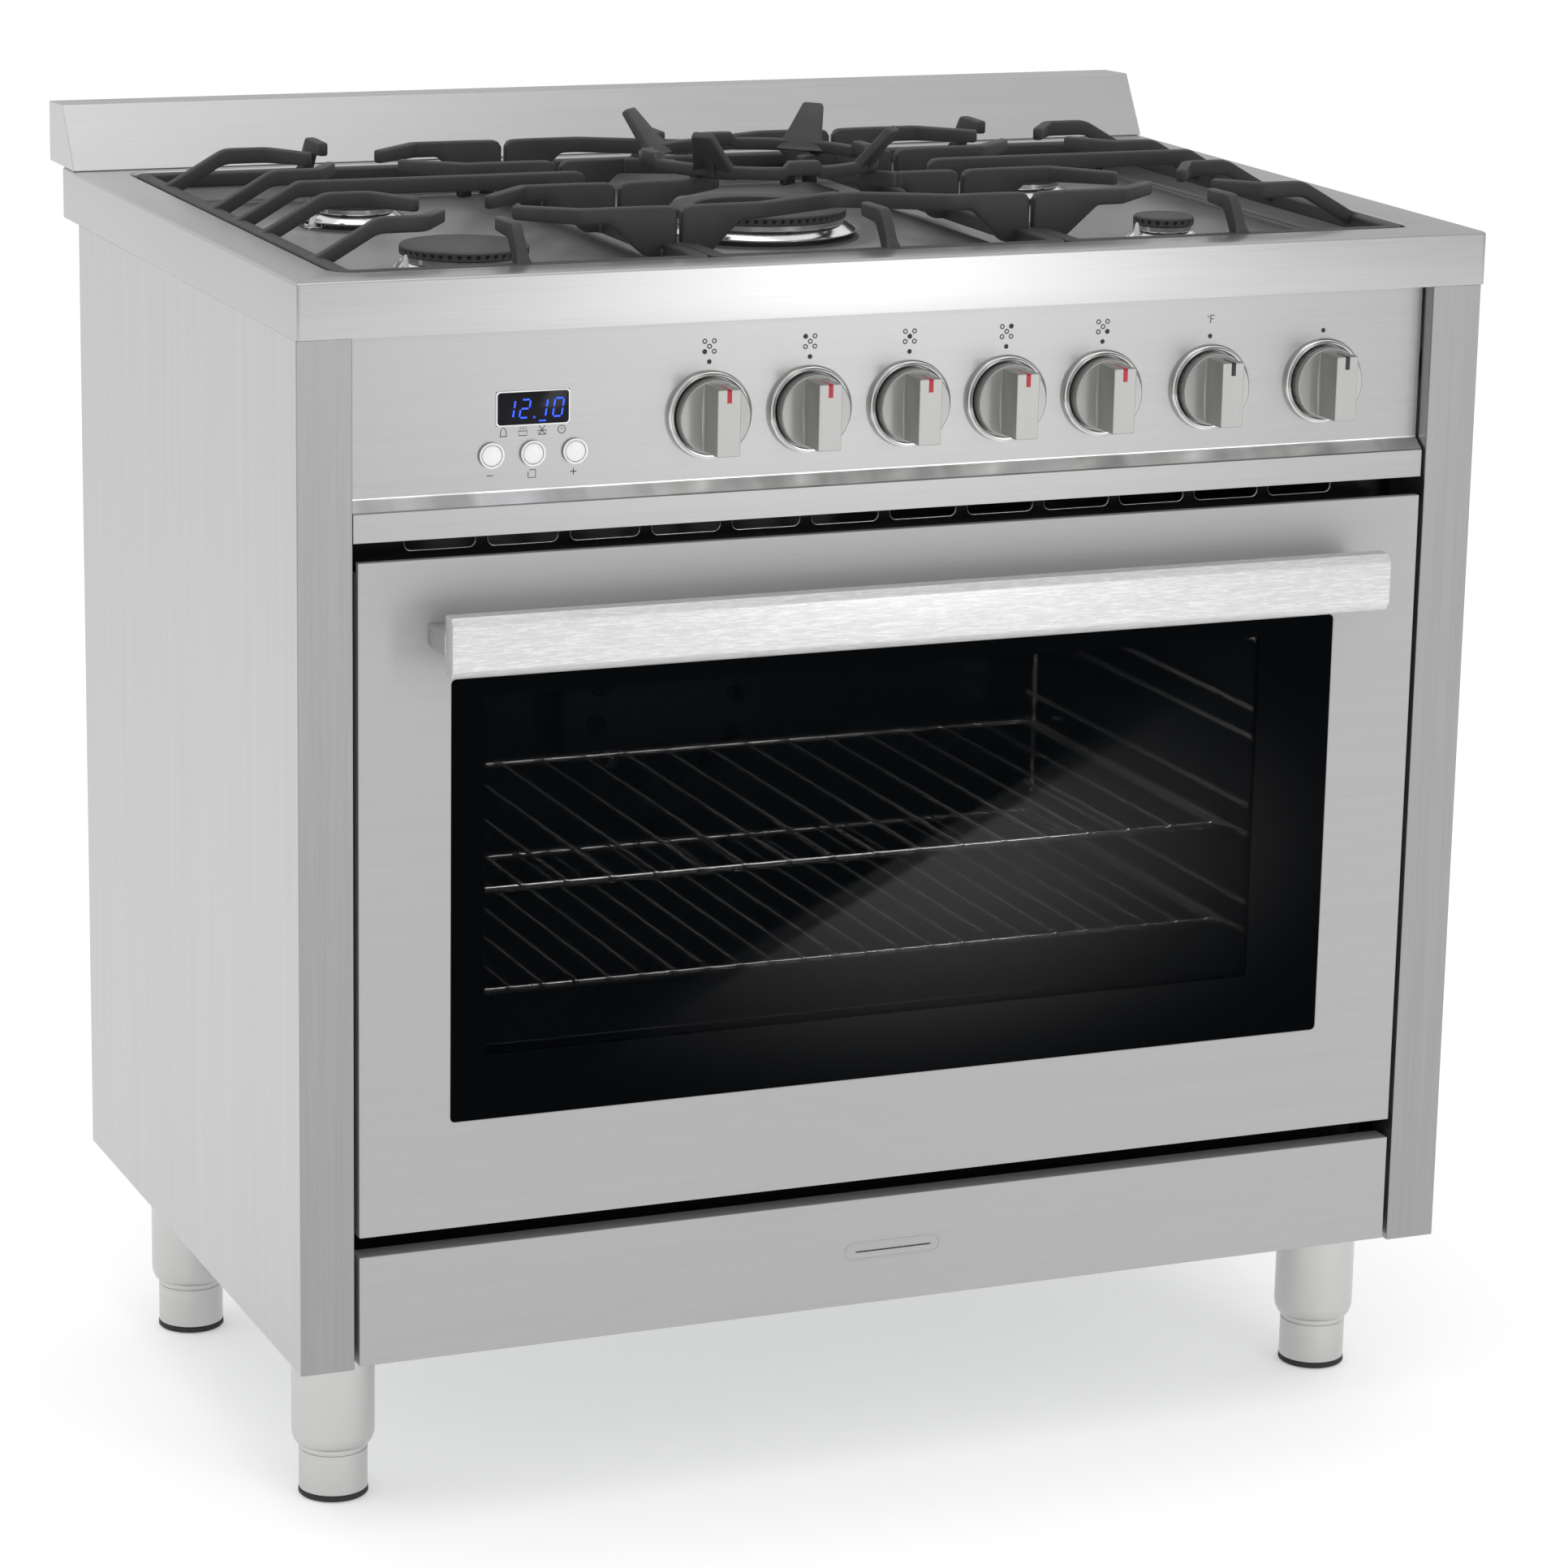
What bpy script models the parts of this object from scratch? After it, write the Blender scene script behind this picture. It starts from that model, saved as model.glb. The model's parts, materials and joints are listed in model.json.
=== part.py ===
"""Freestanding gas range, 90 cm class: five burners, convection gas oven, storage drawer.

Units are metres, +Z up, front towards -Y, origin on the floor under the middle of the overall box.
Depths are measured back from the cooktop's front face and given to at() and depth(); heights are
measured up from the floor. RIM is the height of the cooktop's rim.
"""

import math

import bmesh
import bpy
from mathutils import Matrix, Vector

# Overall sizes
WIDTH = 0.900              # cooktop, side to side
COOKTOP_DEPTH = 0.600
RIM = 0.893                # floor to the cooktop's rim
LEG_HEIGHT = 0.125         # floor to the underside of the body
HANDLE_REACH = 0.048       # how far the door handle stands out in front of the cooktop
BACKGUARD_REACH = 0.036    # how far the backguard stands out behind the cooktop

# Sheet metal and clearances
ROUND = 20                 # sides of turned pieces
SHEET = 0.0012
GAP = 0.0003               # between pieces that touch
SIDE_INSET = 0.001         # body side panels behind the cooktop's edge
SERVICE_GAP = 0.0424       # cooktop's back edge to the body's back
PANEL_SETBACK = 0.0035     # stile fronts behind the cooktop's front
STILE = 0.039
STILE_RETURN = 0.030
REAR_FLANGE = 0.020

# Cooktop
APRON = 0.0384
RECESS = 0.027
RECESS_INSET = 0.0375      # rim width at the front
RIM_SIDE = 0.0385
RIM_BACK = 0.0425
RECESS_CORNER = 0.018
COOKTOP_SHEET = 0.0015

# Backguard section
BACKGUARD_HEIGHT = 0.0475
BACKGUARD_FRONT = 0.566
BACKGUARD_LEAN = 0.030

# Control fascia
FASCIA_SETBACK = 0.0175
FASCIA_HEIGHT = 0.1132     # apron to the crease
FASCIA_SLOPE = 0.0078
BULLNOSE_SETBACK = 0.0070
BULLNOSE_HEIGHT = 0.0197
FASCIA_SIDE_GAP = 0.0015

# Controls
KNOB_X = (-0.1487, -0.0737, 0.0017, 0.0761, 0.1513, 0.2367, 0.3283)
KNOB_DROP = 0.1058         # rim to the knobs' axes
KNOB_RADIUS = 0.0262
KNOB_FRONT = -0.0210       # grip face, depth
SKIRT_FRONT = 0.0030
KNOB_STANDOFF = 0.0035     # fascia to the knob's back
GRIP_WIDTH = 0.0172
GRIP_LENGTH = 0.0466
SPINDLE_RADIUS = 0.004
SPINDLE_CLEARANCE = 0.0006
SPINDLE_END = 0.038
CLOCK_X = -0.2773
CLOCK_DROP = 0.0946
CLOCK_SCREEN = (0.0513, 0.0222)
CLOCK_CASE = (0.092, 0.072)
BUTTON_X = (-0.3071, -0.2773, -0.2468)
BUTTON_DROP = 0.1260
BUTTON_RADIUS = 0.0056
BUTTON_TRAVEL = 0.0015

# Gas rail
RAIL_DEPTH = 0.062
RAIL_RADIUS = 0.009
VALVE_RADIUS = 0.013
SUPPLY_X = 0.385
INLET_REACH = 0.0544       # supply pipe behind the body

# Oven cavity and front frame
FRAME_SHEET = 0.0015
FRAME_TOP_LAP = 0.012      # frame rises behind the bullnose
FRAME_BOTTOM_LAP = 0.0140  # frame drops behind the drawer front
CAVITY_HALF_WIDTH = 0.325
CAVITY_BACK = 0.505
CAVITY_TOP_DROP = 0.0430   # door top to the cavity roof
CAVITY_FLOOR_RISE = 0.0462 # door bottom to the cavity floor
VENT_SLOTS = 12
VENT_PITCH = 0.0604
VENT_LENGTH = 0.052
VENT_HEIGHT = 0.021
VENT_CORNER = 0.005
VENT_BOTTOM = 0.0038       # below the door's top edge

FAN_COVER_RADIUS = 0.100
FAN_COVER_HOLES = 12
FAN_COVER_RING = 0.060

# Door
DOOR_GAP_TOP = 0.0131
DOOR_FRONT = 0.0037
DOOR_BACK = 0.0480
DOOR_SEAL_GAP = 0.0040     # liner to the front frame
DOOR_SIDE_GAP = 0.0037
DOOR_SKIN_FLANGE = 0.018
LINER_TOP_DROP = 0.0110
LINER_SIDE_INSET = 0.014
WINDOW_HALF_WIDTH = 0.3397
WINDOW_TOP_DROP = 0.0849   # door top to the glass
WINDOW_BOTTOM_RISE = 0.0773
GLASS = 0.004
INNER_WINDOW_INSET = 0.040
HINGE_DEPTH = 0.0240
HINGE_RISE = 0.0112        # door bottom to the hinge axis
HINGE_BARREL = 0.0064

# Handle
HANDLE_HALF_LENGTH = 0.3565
HANDLE_DROP = 0.0518       # door top to the bar's middle
HANDLE_HEIGHT = 0.042
HANDLE_FLAT = 0.031
HANDLE_THICKNESS = 0.016
HANDLE_CHAMFER = 0.0045
POST_WIDTH = 0.022
POST_HEIGHT = 0.016

# Drawer
DRAWER_HEIGHT = 0.0803
DRAWER_LIFT = 0.0020
RAIL_GAP = 0.0145          # drawer top to the door's bottom
DRAWER_FRONT_THICKNESS = 0.018
DRAWER_BACK = 0.470
TRAY_HALF_WIDTH = 0.385
TRAY_CLEARANCE = 0.0035

# Legs
LEG_X = 0.398
LEG_DEPTHS = (0.092, 0.459)
LEG_RADIUS = 0.030
FOOT_RADIUS = 0.0252
FOOT_SHOWN = 0.0393
FOOT_INSIDE = 0.055
LEG_WALL = 0.0020

# Hob
BURNER_X = 0.274
HOB_MIDDLE = 0.297         # depth of the centre burner
BURNER_OFFSET = 0.126      # front and rear burners from the middle
CAP_TOP_DROP = 0.0045      # rim to the cap tops
INNER_CAP = 0.020          # the triple burner's middle crown

# Grates
GRATE_HALF_WIDTH = 0.4075
GRATE_SPLIT = 0.1365       # between side and centre grates
GRATE_SPLIT_GAP = 0.0010
GRATE_HALF_DEPTH = 0.256
GRATE_BAR = 0.012
GRATE_BAR_HEIGHT = 0.011
GRATE_CORNER = 0.014
GRATE_FOOT = 0.010
GRATE_TOP = 0.0005         # frame top below the rim
POT_HEIGHT = 0.0255        # pan supports above the rim
FINGER = 0.008
FINGER_HEIGHT = 0.0115
ROW_INNER = 0.062
ROW_OUTER = 0.185
FINGER_REACH = 0.028       # finger tips from a burner's middle
KNEE = 0.0500              # outer bar's edge to where fingers reach pot height
BEND = 0.050               # burner's middle to where side fingers bend

# Wok ring
WOK_RADIUS = 0.089
WOK_WALL = 0.008
WOK_HEIGHT = 0.009
WOK_PRONG_RISE = 0.026
WOK_PRONG_FLARE = 0.025

# Racks and guides
RACK_FRONT = 0.090
RACK_BACK = 0.440
RACK_HALF_WIDTH = 0.306
RACK_RAIL = 0.003
RACK_ROD = 0.002
RACK_TRAVEL_ROOM = 0.035
GUIDE_LEVELS = (0.075, 0.150, 0.225, 0.300)   # below the cavity roof
UPPER_LEVEL = 2
LOWER_LEVEL = 3
GUIDE_WIRE = 0.0025
GUIDE_PAIR = 0.022

# Derived places
FRONT = HANDLE_REACH - (HANDLE_REACH + COOKTOP_DEPTH + BACKGUARD_REACH) / 2
HALF = WIDTH / 2
BODY_HALF = HALF - SIDE_INSET
BODY_BACK = COOKTOP_DEPTH - SERVICE_GAP
INLET_DEPTH = BODY_BACK + INLET_REACH
BODY_TOP = RIM - APRON - GAP
FRAME_FRONT = DOOR_BACK + DOOR_SEAL_GAP
OPENING_HALF = BODY_HALF - STILE
FASCIA_HALF = OPENING_HALF - FASCIA_SIDE_GAP
CREASE = RIM - APRON - FASCIA_HEIGHT
BULLNOSE_BOTTOM = CREASE - FASCIA_SLOPE - BULLNOSE_HEIGHT
DOOR_TOP = BULLNOSE_BOTTOM - DOOR_GAP_TOP
DOOR_HALF = OPENING_HALF - DOOR_SIDE_GAP
DRAWER_BOTTOM = LEG_HEIGHT + DRAWER_LIFT
DRAWER_TOP = DRAWER_BOTTOM + DRAWER_HEIGHT
DOOR_BOTTOM = DRAWER_TOP + RAIL_GAP
CAVITY_TOP = DOOR_TOP - CAVITY_TOP_DROP
CAVITY_FLOOR = DOOR_BOTTOM + CAVITY_FLOOR_RISE
FRAME_BOTTOM = DRAWER_TOP - FRAME_BOTTOM_LAP
WINDOW_TOP = DOOR_TOP - WINDOW_TOP_DROP
WINDOW_BOTTOM = DOOR_BOTTOM + WINDOW_BOTTOM_RISE
HANDLE_HEIGHT_AT = DOOR_TOP - HANDLE_DROP
HINGE_HEIGHT = DOOR_BOTTOM + HINGE_RISE
KNOB_HEIGHT = RIM - KNOB_DROP
PAN = RIM - RECESS
FAN_HEIGHT = (CAVITY_TOP + CAVITY_FLOOR) / 2

for old in list(bpy.data.objects):
    bpy.data.objects.remove(old, do_unlink=True)
parts = bpy.data.collections.new("gas_range")
cutters = bpy.data.collections.new("cutters")
for group in (parts, cutters):
    bpy.context.scene.collection.children.link(group)


def material(name, colour, roughness, metallic):
    made = bpy.data.materials.new(name)
    made.use_nodes = True
    shader = made.node_tree.nodes["Principled BSDF"]
    shader.inputs["Base Color"].default_value = (*colour, 1)
    shader.inputs["Roughness"].default_value = roughness
    shader.inputs["Metallic"].default_value = metallic
    return made


STEEL = material("brushed_steel", (0.62, 0.62, 0.61), 0.32, 1.0)
BRIGHT = material("bright_steel", (0.75, 0.75, 0.74), 0.22, 1.0)
IRON = material("cast_iron", (0.025, 0.025, 0.026), 0.6, 0.0)
ENAMEL = material("black_enamel", (0.012, 0.012, 0.014), 0.25, 0.0)
GALVANISED = material("galvanised", (0.5, 0.51, 0.52), 0.5, 1.0)
ALUMINIUM = material("burner_aluminium", (0.8, 0.8, 0.8), 0.3, 1.0)
BLACK_GLASS = material("door_glass", (0.01, 0.012, 0.015), 0.05, 0.0)
CLEAR_GLASS = material("inner_glass", (0.3, 0.35, 0.35), 0.05, 0.0)
CHROME = material("chrome_wire", (0.8, 0.8, 0.8), 0.15, 1.0)
BRASS = material("gas_brass", (0.7, 0.55, 0.3), 0.35, 1.0)
BUTTON_WHITE = material("button_silver", (0.8, 0.8, 0.8), 0.35, 0.0)
SCREEN = material("clock_plastic", (0.02, 0.02, 0.025), 0.2, 0.0)


def depth(distance):
    """World Y of a depth behind the cooktop's front face."""
    return FRONT + distance


def at(x, distance, height):
    return Vector((x, depth(distance), height))


def place(name, mesh, surface=None, location=(0, 0, 0)):
    """A finished mesh as a named part, or as a hidden cutter when it has no material."""
    thing = bpy.data.objects.new(name, mesh)
    thing.location = location
    if surface:
        mesh.materials.clear()
        mesh.materials.append(surface)
        parts.objects.link(thing)
    else:
        cutters.objects.link(thing)
        thing.hide_render = True
        thing.display_type = "WIRE"
    return thing


def mesh_of(name, work):
    bmesh.ops.recalc_face_normals(work, faces=work.faces[:])
    mesh = bpy.data.meshes.new(name)
    work.to_mesh(mesh)
    work.free()
    return mesh


def block_mesh(name, low, high, corner=0.0, segments=3, axis=2):
    """A box between two corners, its four edges along one axis rounded when corner is given."""
    work = bmesh.new()
    middle = (Vector(low) + Vector(high)) / 2
    size = Vector(high) - Vector(low)
    bmesh.ops.create_cube(work, size=1, matrix=Matrix.Translation(middle) @ Matrix.Diagonal((*size, 1)))
    if corner:
        along = [e for e in work.edges
                 if abs((e.verts[0].co - e.verts[1].co).normalized()[axis]) > 0.9]
        bmesh.ops.bevel(work, geom=along, offset=corner, segments=segments, affect="EDGES", profile=0.5)
    return mesh_of(name, work)


def block(name, low, high, surface=None, corner=0.0, segments=3, axis=2):
    return place(name, block_mesh(name, low, high, corner, segments, axis), surface)


def prism_mesh(name, outline, start, end, frame=None):
    """An outline in (u, v) carried along w from start to end; frame turns (u, v, w) into the world."""
    work = bmesh.new()
    face = work.faces.new([work.verts.new((u, v, start)) for u, v in outline])
    swept = bmesh.ops.extrude_face_region(work, geom=[face])
    moved = [v for v in swept["geom"] if isinstance(v, bmesh.types.BMVert)]
    bmesh.ops.translate(work, verts=moved, vec=(0, 0, end - start))
    if frame:
        bmesh.ops.transform(work, matrix=frame, verts=work.verts[:])
    return mesh_of(name, work)


def axes(u, v, w, origin=(0, 0, 0)):
    """The matrix whose columns are the three given directions and the origin."""
    rows = Matrix((u, v, w)).transposed().to_4x4()
    rows.translation = Vector(origin)
    return rows


ACROSS = axes((0, 1, 0), (0, 0, 1), (1, 0, 0))      # outline in (y, z), carried along x
UPRIGHT = axes((1, 0, 0), (0, 1, 0), (0, 0, 1))     # outline in (x, y), carried along z
BACKWARD = axes((1, 0, 0), (0, 0, 1), (0, -1, 0))   # outline in (x, z), carried along -y


def folded(name, line, start, end, frame, surface, flip=False):
    """Sheet metal: an open line in (u, v), carried along w and thickened to one side."""
    work = bmesh.new()
    verts = [work.verts.new((u, v, start)) for u, v in line]
    edges = [work.edges.new(pair) for pair in zip(verts, verts[1:])]
    swept = bmesh.ops.extrude_edge_only(work, edges=edges)
    moved = [v for v in swept["geom"] if isinstance(v, bmesh.types.BMVert)]
    bmesh.ops.translate(work, verts=moved, vec=(0, 0, end - start))
    bmesh.ops.transform(work, matrix=frame, verts=work.verts[:])
    mesh = bpy.data.meshes.new(name)
    work.to_mesh(mesh)
    work.free()
    thing = place(name, mesh, surface)
    wall = thing.modifiers.new("sheet", "SOLIDIFY")
    wall.thickness = SHEET
    wall.offset = 1 if flip else -1
    wall.use_even_offset = True
    return thing


def turned(name, profile, centre, surface=None, steps=32, axis="Z"):
    """A profile of (radius, height) points, outer side first from top to bottom, turned once round."""
    mesh = bpy.data.meshes.new(name)
    mesh.from_pydata([(r, 0, h) for r, h in profile], [(i, i + 1) for i in range(len(profile) - 1)], [])
    thing = place(name, mesh, surface, centre)
    if axis == "Y":
        thing.rotation_euler = (math.pi / 2, 0, 0)
    screw = thing.modifiers.new("turn", "SCREW")
    screw.steps = steps
    screw.render_steps = steps
    screw.use_merge_vertices = True
    screw.merge_threshold = 0.00005
    screw.use_smooth_shade = True
    return thing


def rod_mesh(name, start, end, radius, sides=12):
    start, end = Vector(start), Vector(end)
    run = end - start
    turn = run.to_track_quat("Z", "Y").to_matrix().to_4x4()
    work = bmesh.new()
    bmesh.ops.create_cone(work, cap_ends=True, segments=sides, radius1=radius, radius2=radius,
                          depth=run.length, matrix=Matrix.Translation((start + end) / 2) @ turn)
    return mesh_of(name, work)


def rod(name, start, end, radius, surface=None, sides=12):
    return place(name, rod_mesh(name, start, end, radius, sides), surface)


def boolean(thing, other, operation):
    step = thing.modifiers.new(operation.lower(), "BOOLEAN")
    step.operation = operation
    step.object = other
    return thing


def cut(thing, *others):
    for other in others:
        boolean(thing, other, "DIFFERENCE")
    return thing


def join(thing, *others):
    for other in others:
        boolean(thing, other, "UNION")
    return thing


def join_all(thing, name, meshes):
    """Unions many plain shapes at once, through a collection of their own."""
    group = bpy.data.collections.new(name)
    cutters.children.link(group)
    for index, mesh in enumerate(meshes):
        extra = bpy.data.objects.new(f"{name}.{index}", mesh)
        group.objects.link(extra)
        extra.hide_render = True
        extra.display_type = "WIRE"
    step = thing.modifiers.new("union", "BOOLEAN")
    step.operation = "UNION"
    step.operand_type = "COLLECTION"
    step.collection = group
    return thing


# ---------------------------------------------------------------- casing
def side_panels():
    """Each side is one sheet: rear flange, side, front stile and its return."""
    for side, name in ((-1, "side_panel_left"), (1, "side_panel_right")):
        outer = side * BODY_HALF
        inner = side * OPENING_HALF
        line = [(inner, depth(PANEL_SETBACK + STILE_RETURN)), (inner, depth(PANEL_SETBACK)),
                (outer, depth(PANEL_SETBACK)), (outer, depth(BODY_BACK)),
                (outer - side * REAR_FLANGE, depth(BODY_BACK))]
        folded(name, line, LEG_HEIGHT, BODY_TOP, UPRIGHT, STEEL, flip=side > 0)


def back_panel():
    """The rear cover, screwed inside the side panels' flanges, with vent slots and the gas inlet's hole."""
    half = BODY_HALF - SHEET - GAP
    front = BODY_BACK - SHEET - GAP - SHEET
    cover = block("back_panel", at(-half, front, LEG_HEIGHT + SHEET + GAP), at(half, front + SHEET, BODY_TOP),
                  GALVANISED)
    for index in range(8):
        x = (index - 3.5) * 0.045
        slot = block("back_vent", at(x - 0.016, front - 0.01, RIM - 0.20), at(x + 0.016, front + 0.02, RIM - 0.19))
        cut(cover, slot)
    hole = rod("inlet_hole", at(SUPPLY_X, front - 0.01, KNOB_HEIGHT), at(SUPPLY_X, front + 0.02, KNOB_HEIGHT),
               RAIL_RADIUS + 0.004, sides=20)
    cut(cover, hole)


def base_pan():
    """A tray that closes the body's underside and carries the four legs."""
    half = BODY_HALF - SHEET - GAP
    back = BODY_BACK - 2 * SHEET - 3 * GAP
    front = PANEL_SETBACK + STILE_RETURN + GAP
    rise = 0.0006
    tray = block("base_pan", at(-half, front, LEG_HEIGHT + rise), at(half, back, LEG_HEIGHT + rise + SHEET),
                 GALVANISED)
    bottom = LEG_HEIGHT + rise + SHEET / 2
    flange = [block_mesh("flange", at(side * half - (SHEET if side > 0 else 0), front, bottom),
                         at(side * half + (SHEET if side < 0 else 0), back, LEG_HEIGHT + 0.016))
              for side in (-1, 1)]
    join_all(tray, "base_flanges", flange)


def legs_and_feet():
    """A leg sleeve under each corner, and a screw-adjusted foot that slides out of it."""
    top = LEG_HEIGHT + 0.0006 - GAP
    for end, place_y in zip(("front", "back"), LEG_DEPTHS):
        for side, hand in ((-1, "left"), (1, "right")):
            name = f"{end}_{hand}"
            bore = FOOT_RADIUS + GAP
            turned(f"leg_{name}", [(0, top), (LEG_RADIUS, top), (LEG_RADIUS, FOOT_SHOWN + 0.006),
                                   (LEG_RADIUS - 0.0008, FOOT_SHOWN + 0.002), (bore + 0.0012, FOOT_SHOWN),
                                   (bore, FOOT_SHOWN), (bore, top - LEG_WALL), (0, top - LEG_WALL)],
                   at(side * LEG_X, place_y, 0), STEEL, ROUND)
            turned(f"foot_{name}", [(0, FOOT_SHOWN + FOOT_INSIDE), (FOOT_RADIUS, FOOT_SHOWN + FOOT_INSIDE),
                                    (FOOT_RADIUS, 0.0012), (FOOT_RADIUS - 0.0012, 0), (0, 0)],
                   at(side * LEG_X, place_y, 0), STEEL, ROUND)


def cooktop():
    """One pressed sheet: apron, rim and a recessed pan with a hole for each burner."""
    top = block("cooktop", at(-HALF, 0, RIM - APRON), at(HALF, COOKTOP_DEPTH, RIM), STEEL)
    low = (RIM_SIDE - HALF, RECESS_INSET)
    high = (HALF - RIM_SIDE, COOKTOP_DEPTH - RIM_BACK)
    recess = block("recess", at(*low, PAN), at(*high, RIM + 0.01), corner=RECESS_CORNER, segments=4)
    wall = COOKTOP_SHEET
    hollow = block("hollow", at(-HALF + wall, wall, RIM - APRON - 0.01),
                   at(HALF - wall, COOKTOP_DEPTH - wall, RIM - wall))
    island = block("island", at(low[0] - wall, low[1] - wall, PAN - wall),
                   at(high[0] + wall, high[1] + wall, RIM + 0.01), corner=RECESS_CORNER + wall, segments=4)
    cut(hollow, island)
    cut(top, recess, hollow)
    for x, distance, body in burner_places():
        hole = rod("burner_hole", at(x, distance, PAN - 0.02), at(x, distance, PAN + 0.02),
                   body["throat"] + 0.0015, sides=ROUND)
        cut(top, hole)


def backguard():
    """A folded box along the back edge, open underneath, its front leaning back."""
    outline = [(depth(BACKGUARD_FRONT), RIM + GAP),
               (depth(BACKGUARD_FRONT + BACKGUARD_LEAN), RIM + BACKGUARD_HEIGHT),
               (depth(COOKTOP_DEPTH + BACKGUARD_REACH), RIM + BACKGUARD_HEIGHT - 0.0015),
               (depth(COOKTOP_DEPTH + BACKGUARD_REACH), RIM + GAP)]
    guard = place("backguard", prism_mesh("backguard", outline, -HALF, HALF, ACROSS), STEEL)
    wall = COOKTOP_SHEET
    slant = wall * 1.4
    inside = [(outline[0][0] + slant - 0.007, outline[0][1] - 0.01),
              (outline[1][0] + wall, outline[1][1] - wall),
              (outline[2][0] - wall, outline[2][1] - wall),
              (outline[3][0] - wall, outline[3][1] - 0.01)]
    hollow = place("guard_hollow", prism_mesh("guard_hollow", inside, -HALF + wall, HALF - wall, ACROSS))
    cut(guard, hollow)


# ---------------------------------------------------------------- controls
def control_panel():
    """The fascia and its bullnose, one folded sheet, pierced for spindles, buttons and clock."""
    line = [(depth(0.045), RIM - APRON - 0.001), (depth(FASCIA_SETBACK), RIM - APRON - 0.001),
            (depth(FASCIA_SETBACK), CREASE), (depth(BULLNOSE_SETBACK), CREASE - FASCIA_SLOPE),
            (depth(BULLNOSE_SETBACK), BULLNOSE_BOTTOM), (depth(0.036), BULLNOSE_BOTTOM)]
    fascia = folded("control_panel", line, -FASCIA_HALF, FASCIA_HALF, ACROSS, STEEL, flip=True)
    front, back = FASCIA_SETBACK - 0.005, FASCIA_SETBACK + 0.01
    for x in KNOB_X:
        cut(fascia, rod("spindle_hole", at(x, front, KNOB_HEIGHT), at(x, back, KNOB_HEIGHT),
                        SPINDLE_RADIUS + SPINDLE_CLEARANCE, sides=12))
    for x in BUTTON_X:
        cut(fascia, rod("button_hole", at(x, front, RIM - BUTTON_DROP), at(x, back, RIM - BUTTON_DROP),
                        BUTTON_RADIUS + 0.0005, sides=16))
    wide, tall = (size / 2 + 0.0008 for size in CLOCK_SCREEN)
    cut(fascia, block("screen_hole", at(CLOCK_X - wide, front, RIM - CLOCK_DROP - tall),
                      at(CLOCK_X + wide, back, RIM - CLOCK_DROP + tall)))


def clock_module():
    """The timer's case behind the fascia, its screen standing in the fascia's window."""
    wide, tall = (size / 2 for size in CLOCK_SCREEN)
    height = RIM - CLOCK_DROP
    screen = block("clock_module", at(CLOCK_X - wide, FASCIA_SETBACK - 0.0006, height - tall),
                   at(CLOCK_X + wide, FASCIA_SETBACK + 0.014, height + tall), SCREEN)
    top = height + tall + 0.010
    case = block_mesh("clock_case", at(CLOCK_X - CLOCK_CASE[0] / 2, FASCIA_SETBACK + 0.010, top - CLOCK_CASE[1]),
                      at(CLOCK_X + CLOCK_CASE[0] / 2, FASCIA_SETBACK + 0.030, top))
    join_all(screen, "clock_case", [case])


def buttons():
    """Three domed push buttons; a collar behind the fascia keeps each from falling out."""
    for x, name in zip(BUTTON_X, ("minus", "set", "plus")):
        stop = SHEET + GAP
        turned(f"button_{name}", [(0, 0.0034), (0.0030, 0.0031), (0.0048, 0.0022), (BUTTON_RADIUS, 0.0008),
                                  (BUTTON_RADIUS, -stop), (BUTTON_RADIUS + 0.0015, -stop),
                                  (BUTTON_RADIUS + 0.0015, -stop - 0.0012), (0.002, -stop - 0.0012),
                                  (0.002, -stop - 0.004), (0, -stop - 0.004)],
               at(x, FASCIA_SETBACK, RIM - BUTTON_DROP), BUTTON_WHITE, 16, "Y")


def knobs():
    """A turned skirt with a straight grip across it, on its spindle."""
    skirt = FASCIA_SETBACK - SKIRT_FRONT
    rear = KNOB_STANDOFF
    for number, x in enumerate(KNOB_X, 1):
        centre = at(x, FASCIA_SETBACK, KNOB_HEIGHT)
        knob = turned(f"knob_{number}", [(0, skirt), (KNOB_RADIUS - 0.0012, skirt), (KNOB_RADIUS, skirt - 0.0012),
                                         (KNOB_RADIUS, rear), (SPINDLE_RADIUS, rear),
                                         (SPINDLE_RADIUS, FASCIA_SETBACK - SPINDLE_END),
                                         (0, FASCIA_SETBACK - SPINDLE_END)],
                      centre, BRIGHT, ROUND, "Y")
        grip = block_mesh("grip", (-GRIP_WIDTH / 2, -GRIP_LENGTH / 2, skirt - 0.004),
                          (GRIP_WIDTH / 2, GRIP_LENGTH / 2, FASCIA_SETBACK - KNOB_FRONT),
                          corner=0.0012, segments=1, axis=2)
        turner = place(f"grip_{number}", grip, None, centre)
        turner.rotation_euler = (math.pi / 2, 0, 0)
        join(knob, turner)


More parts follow.
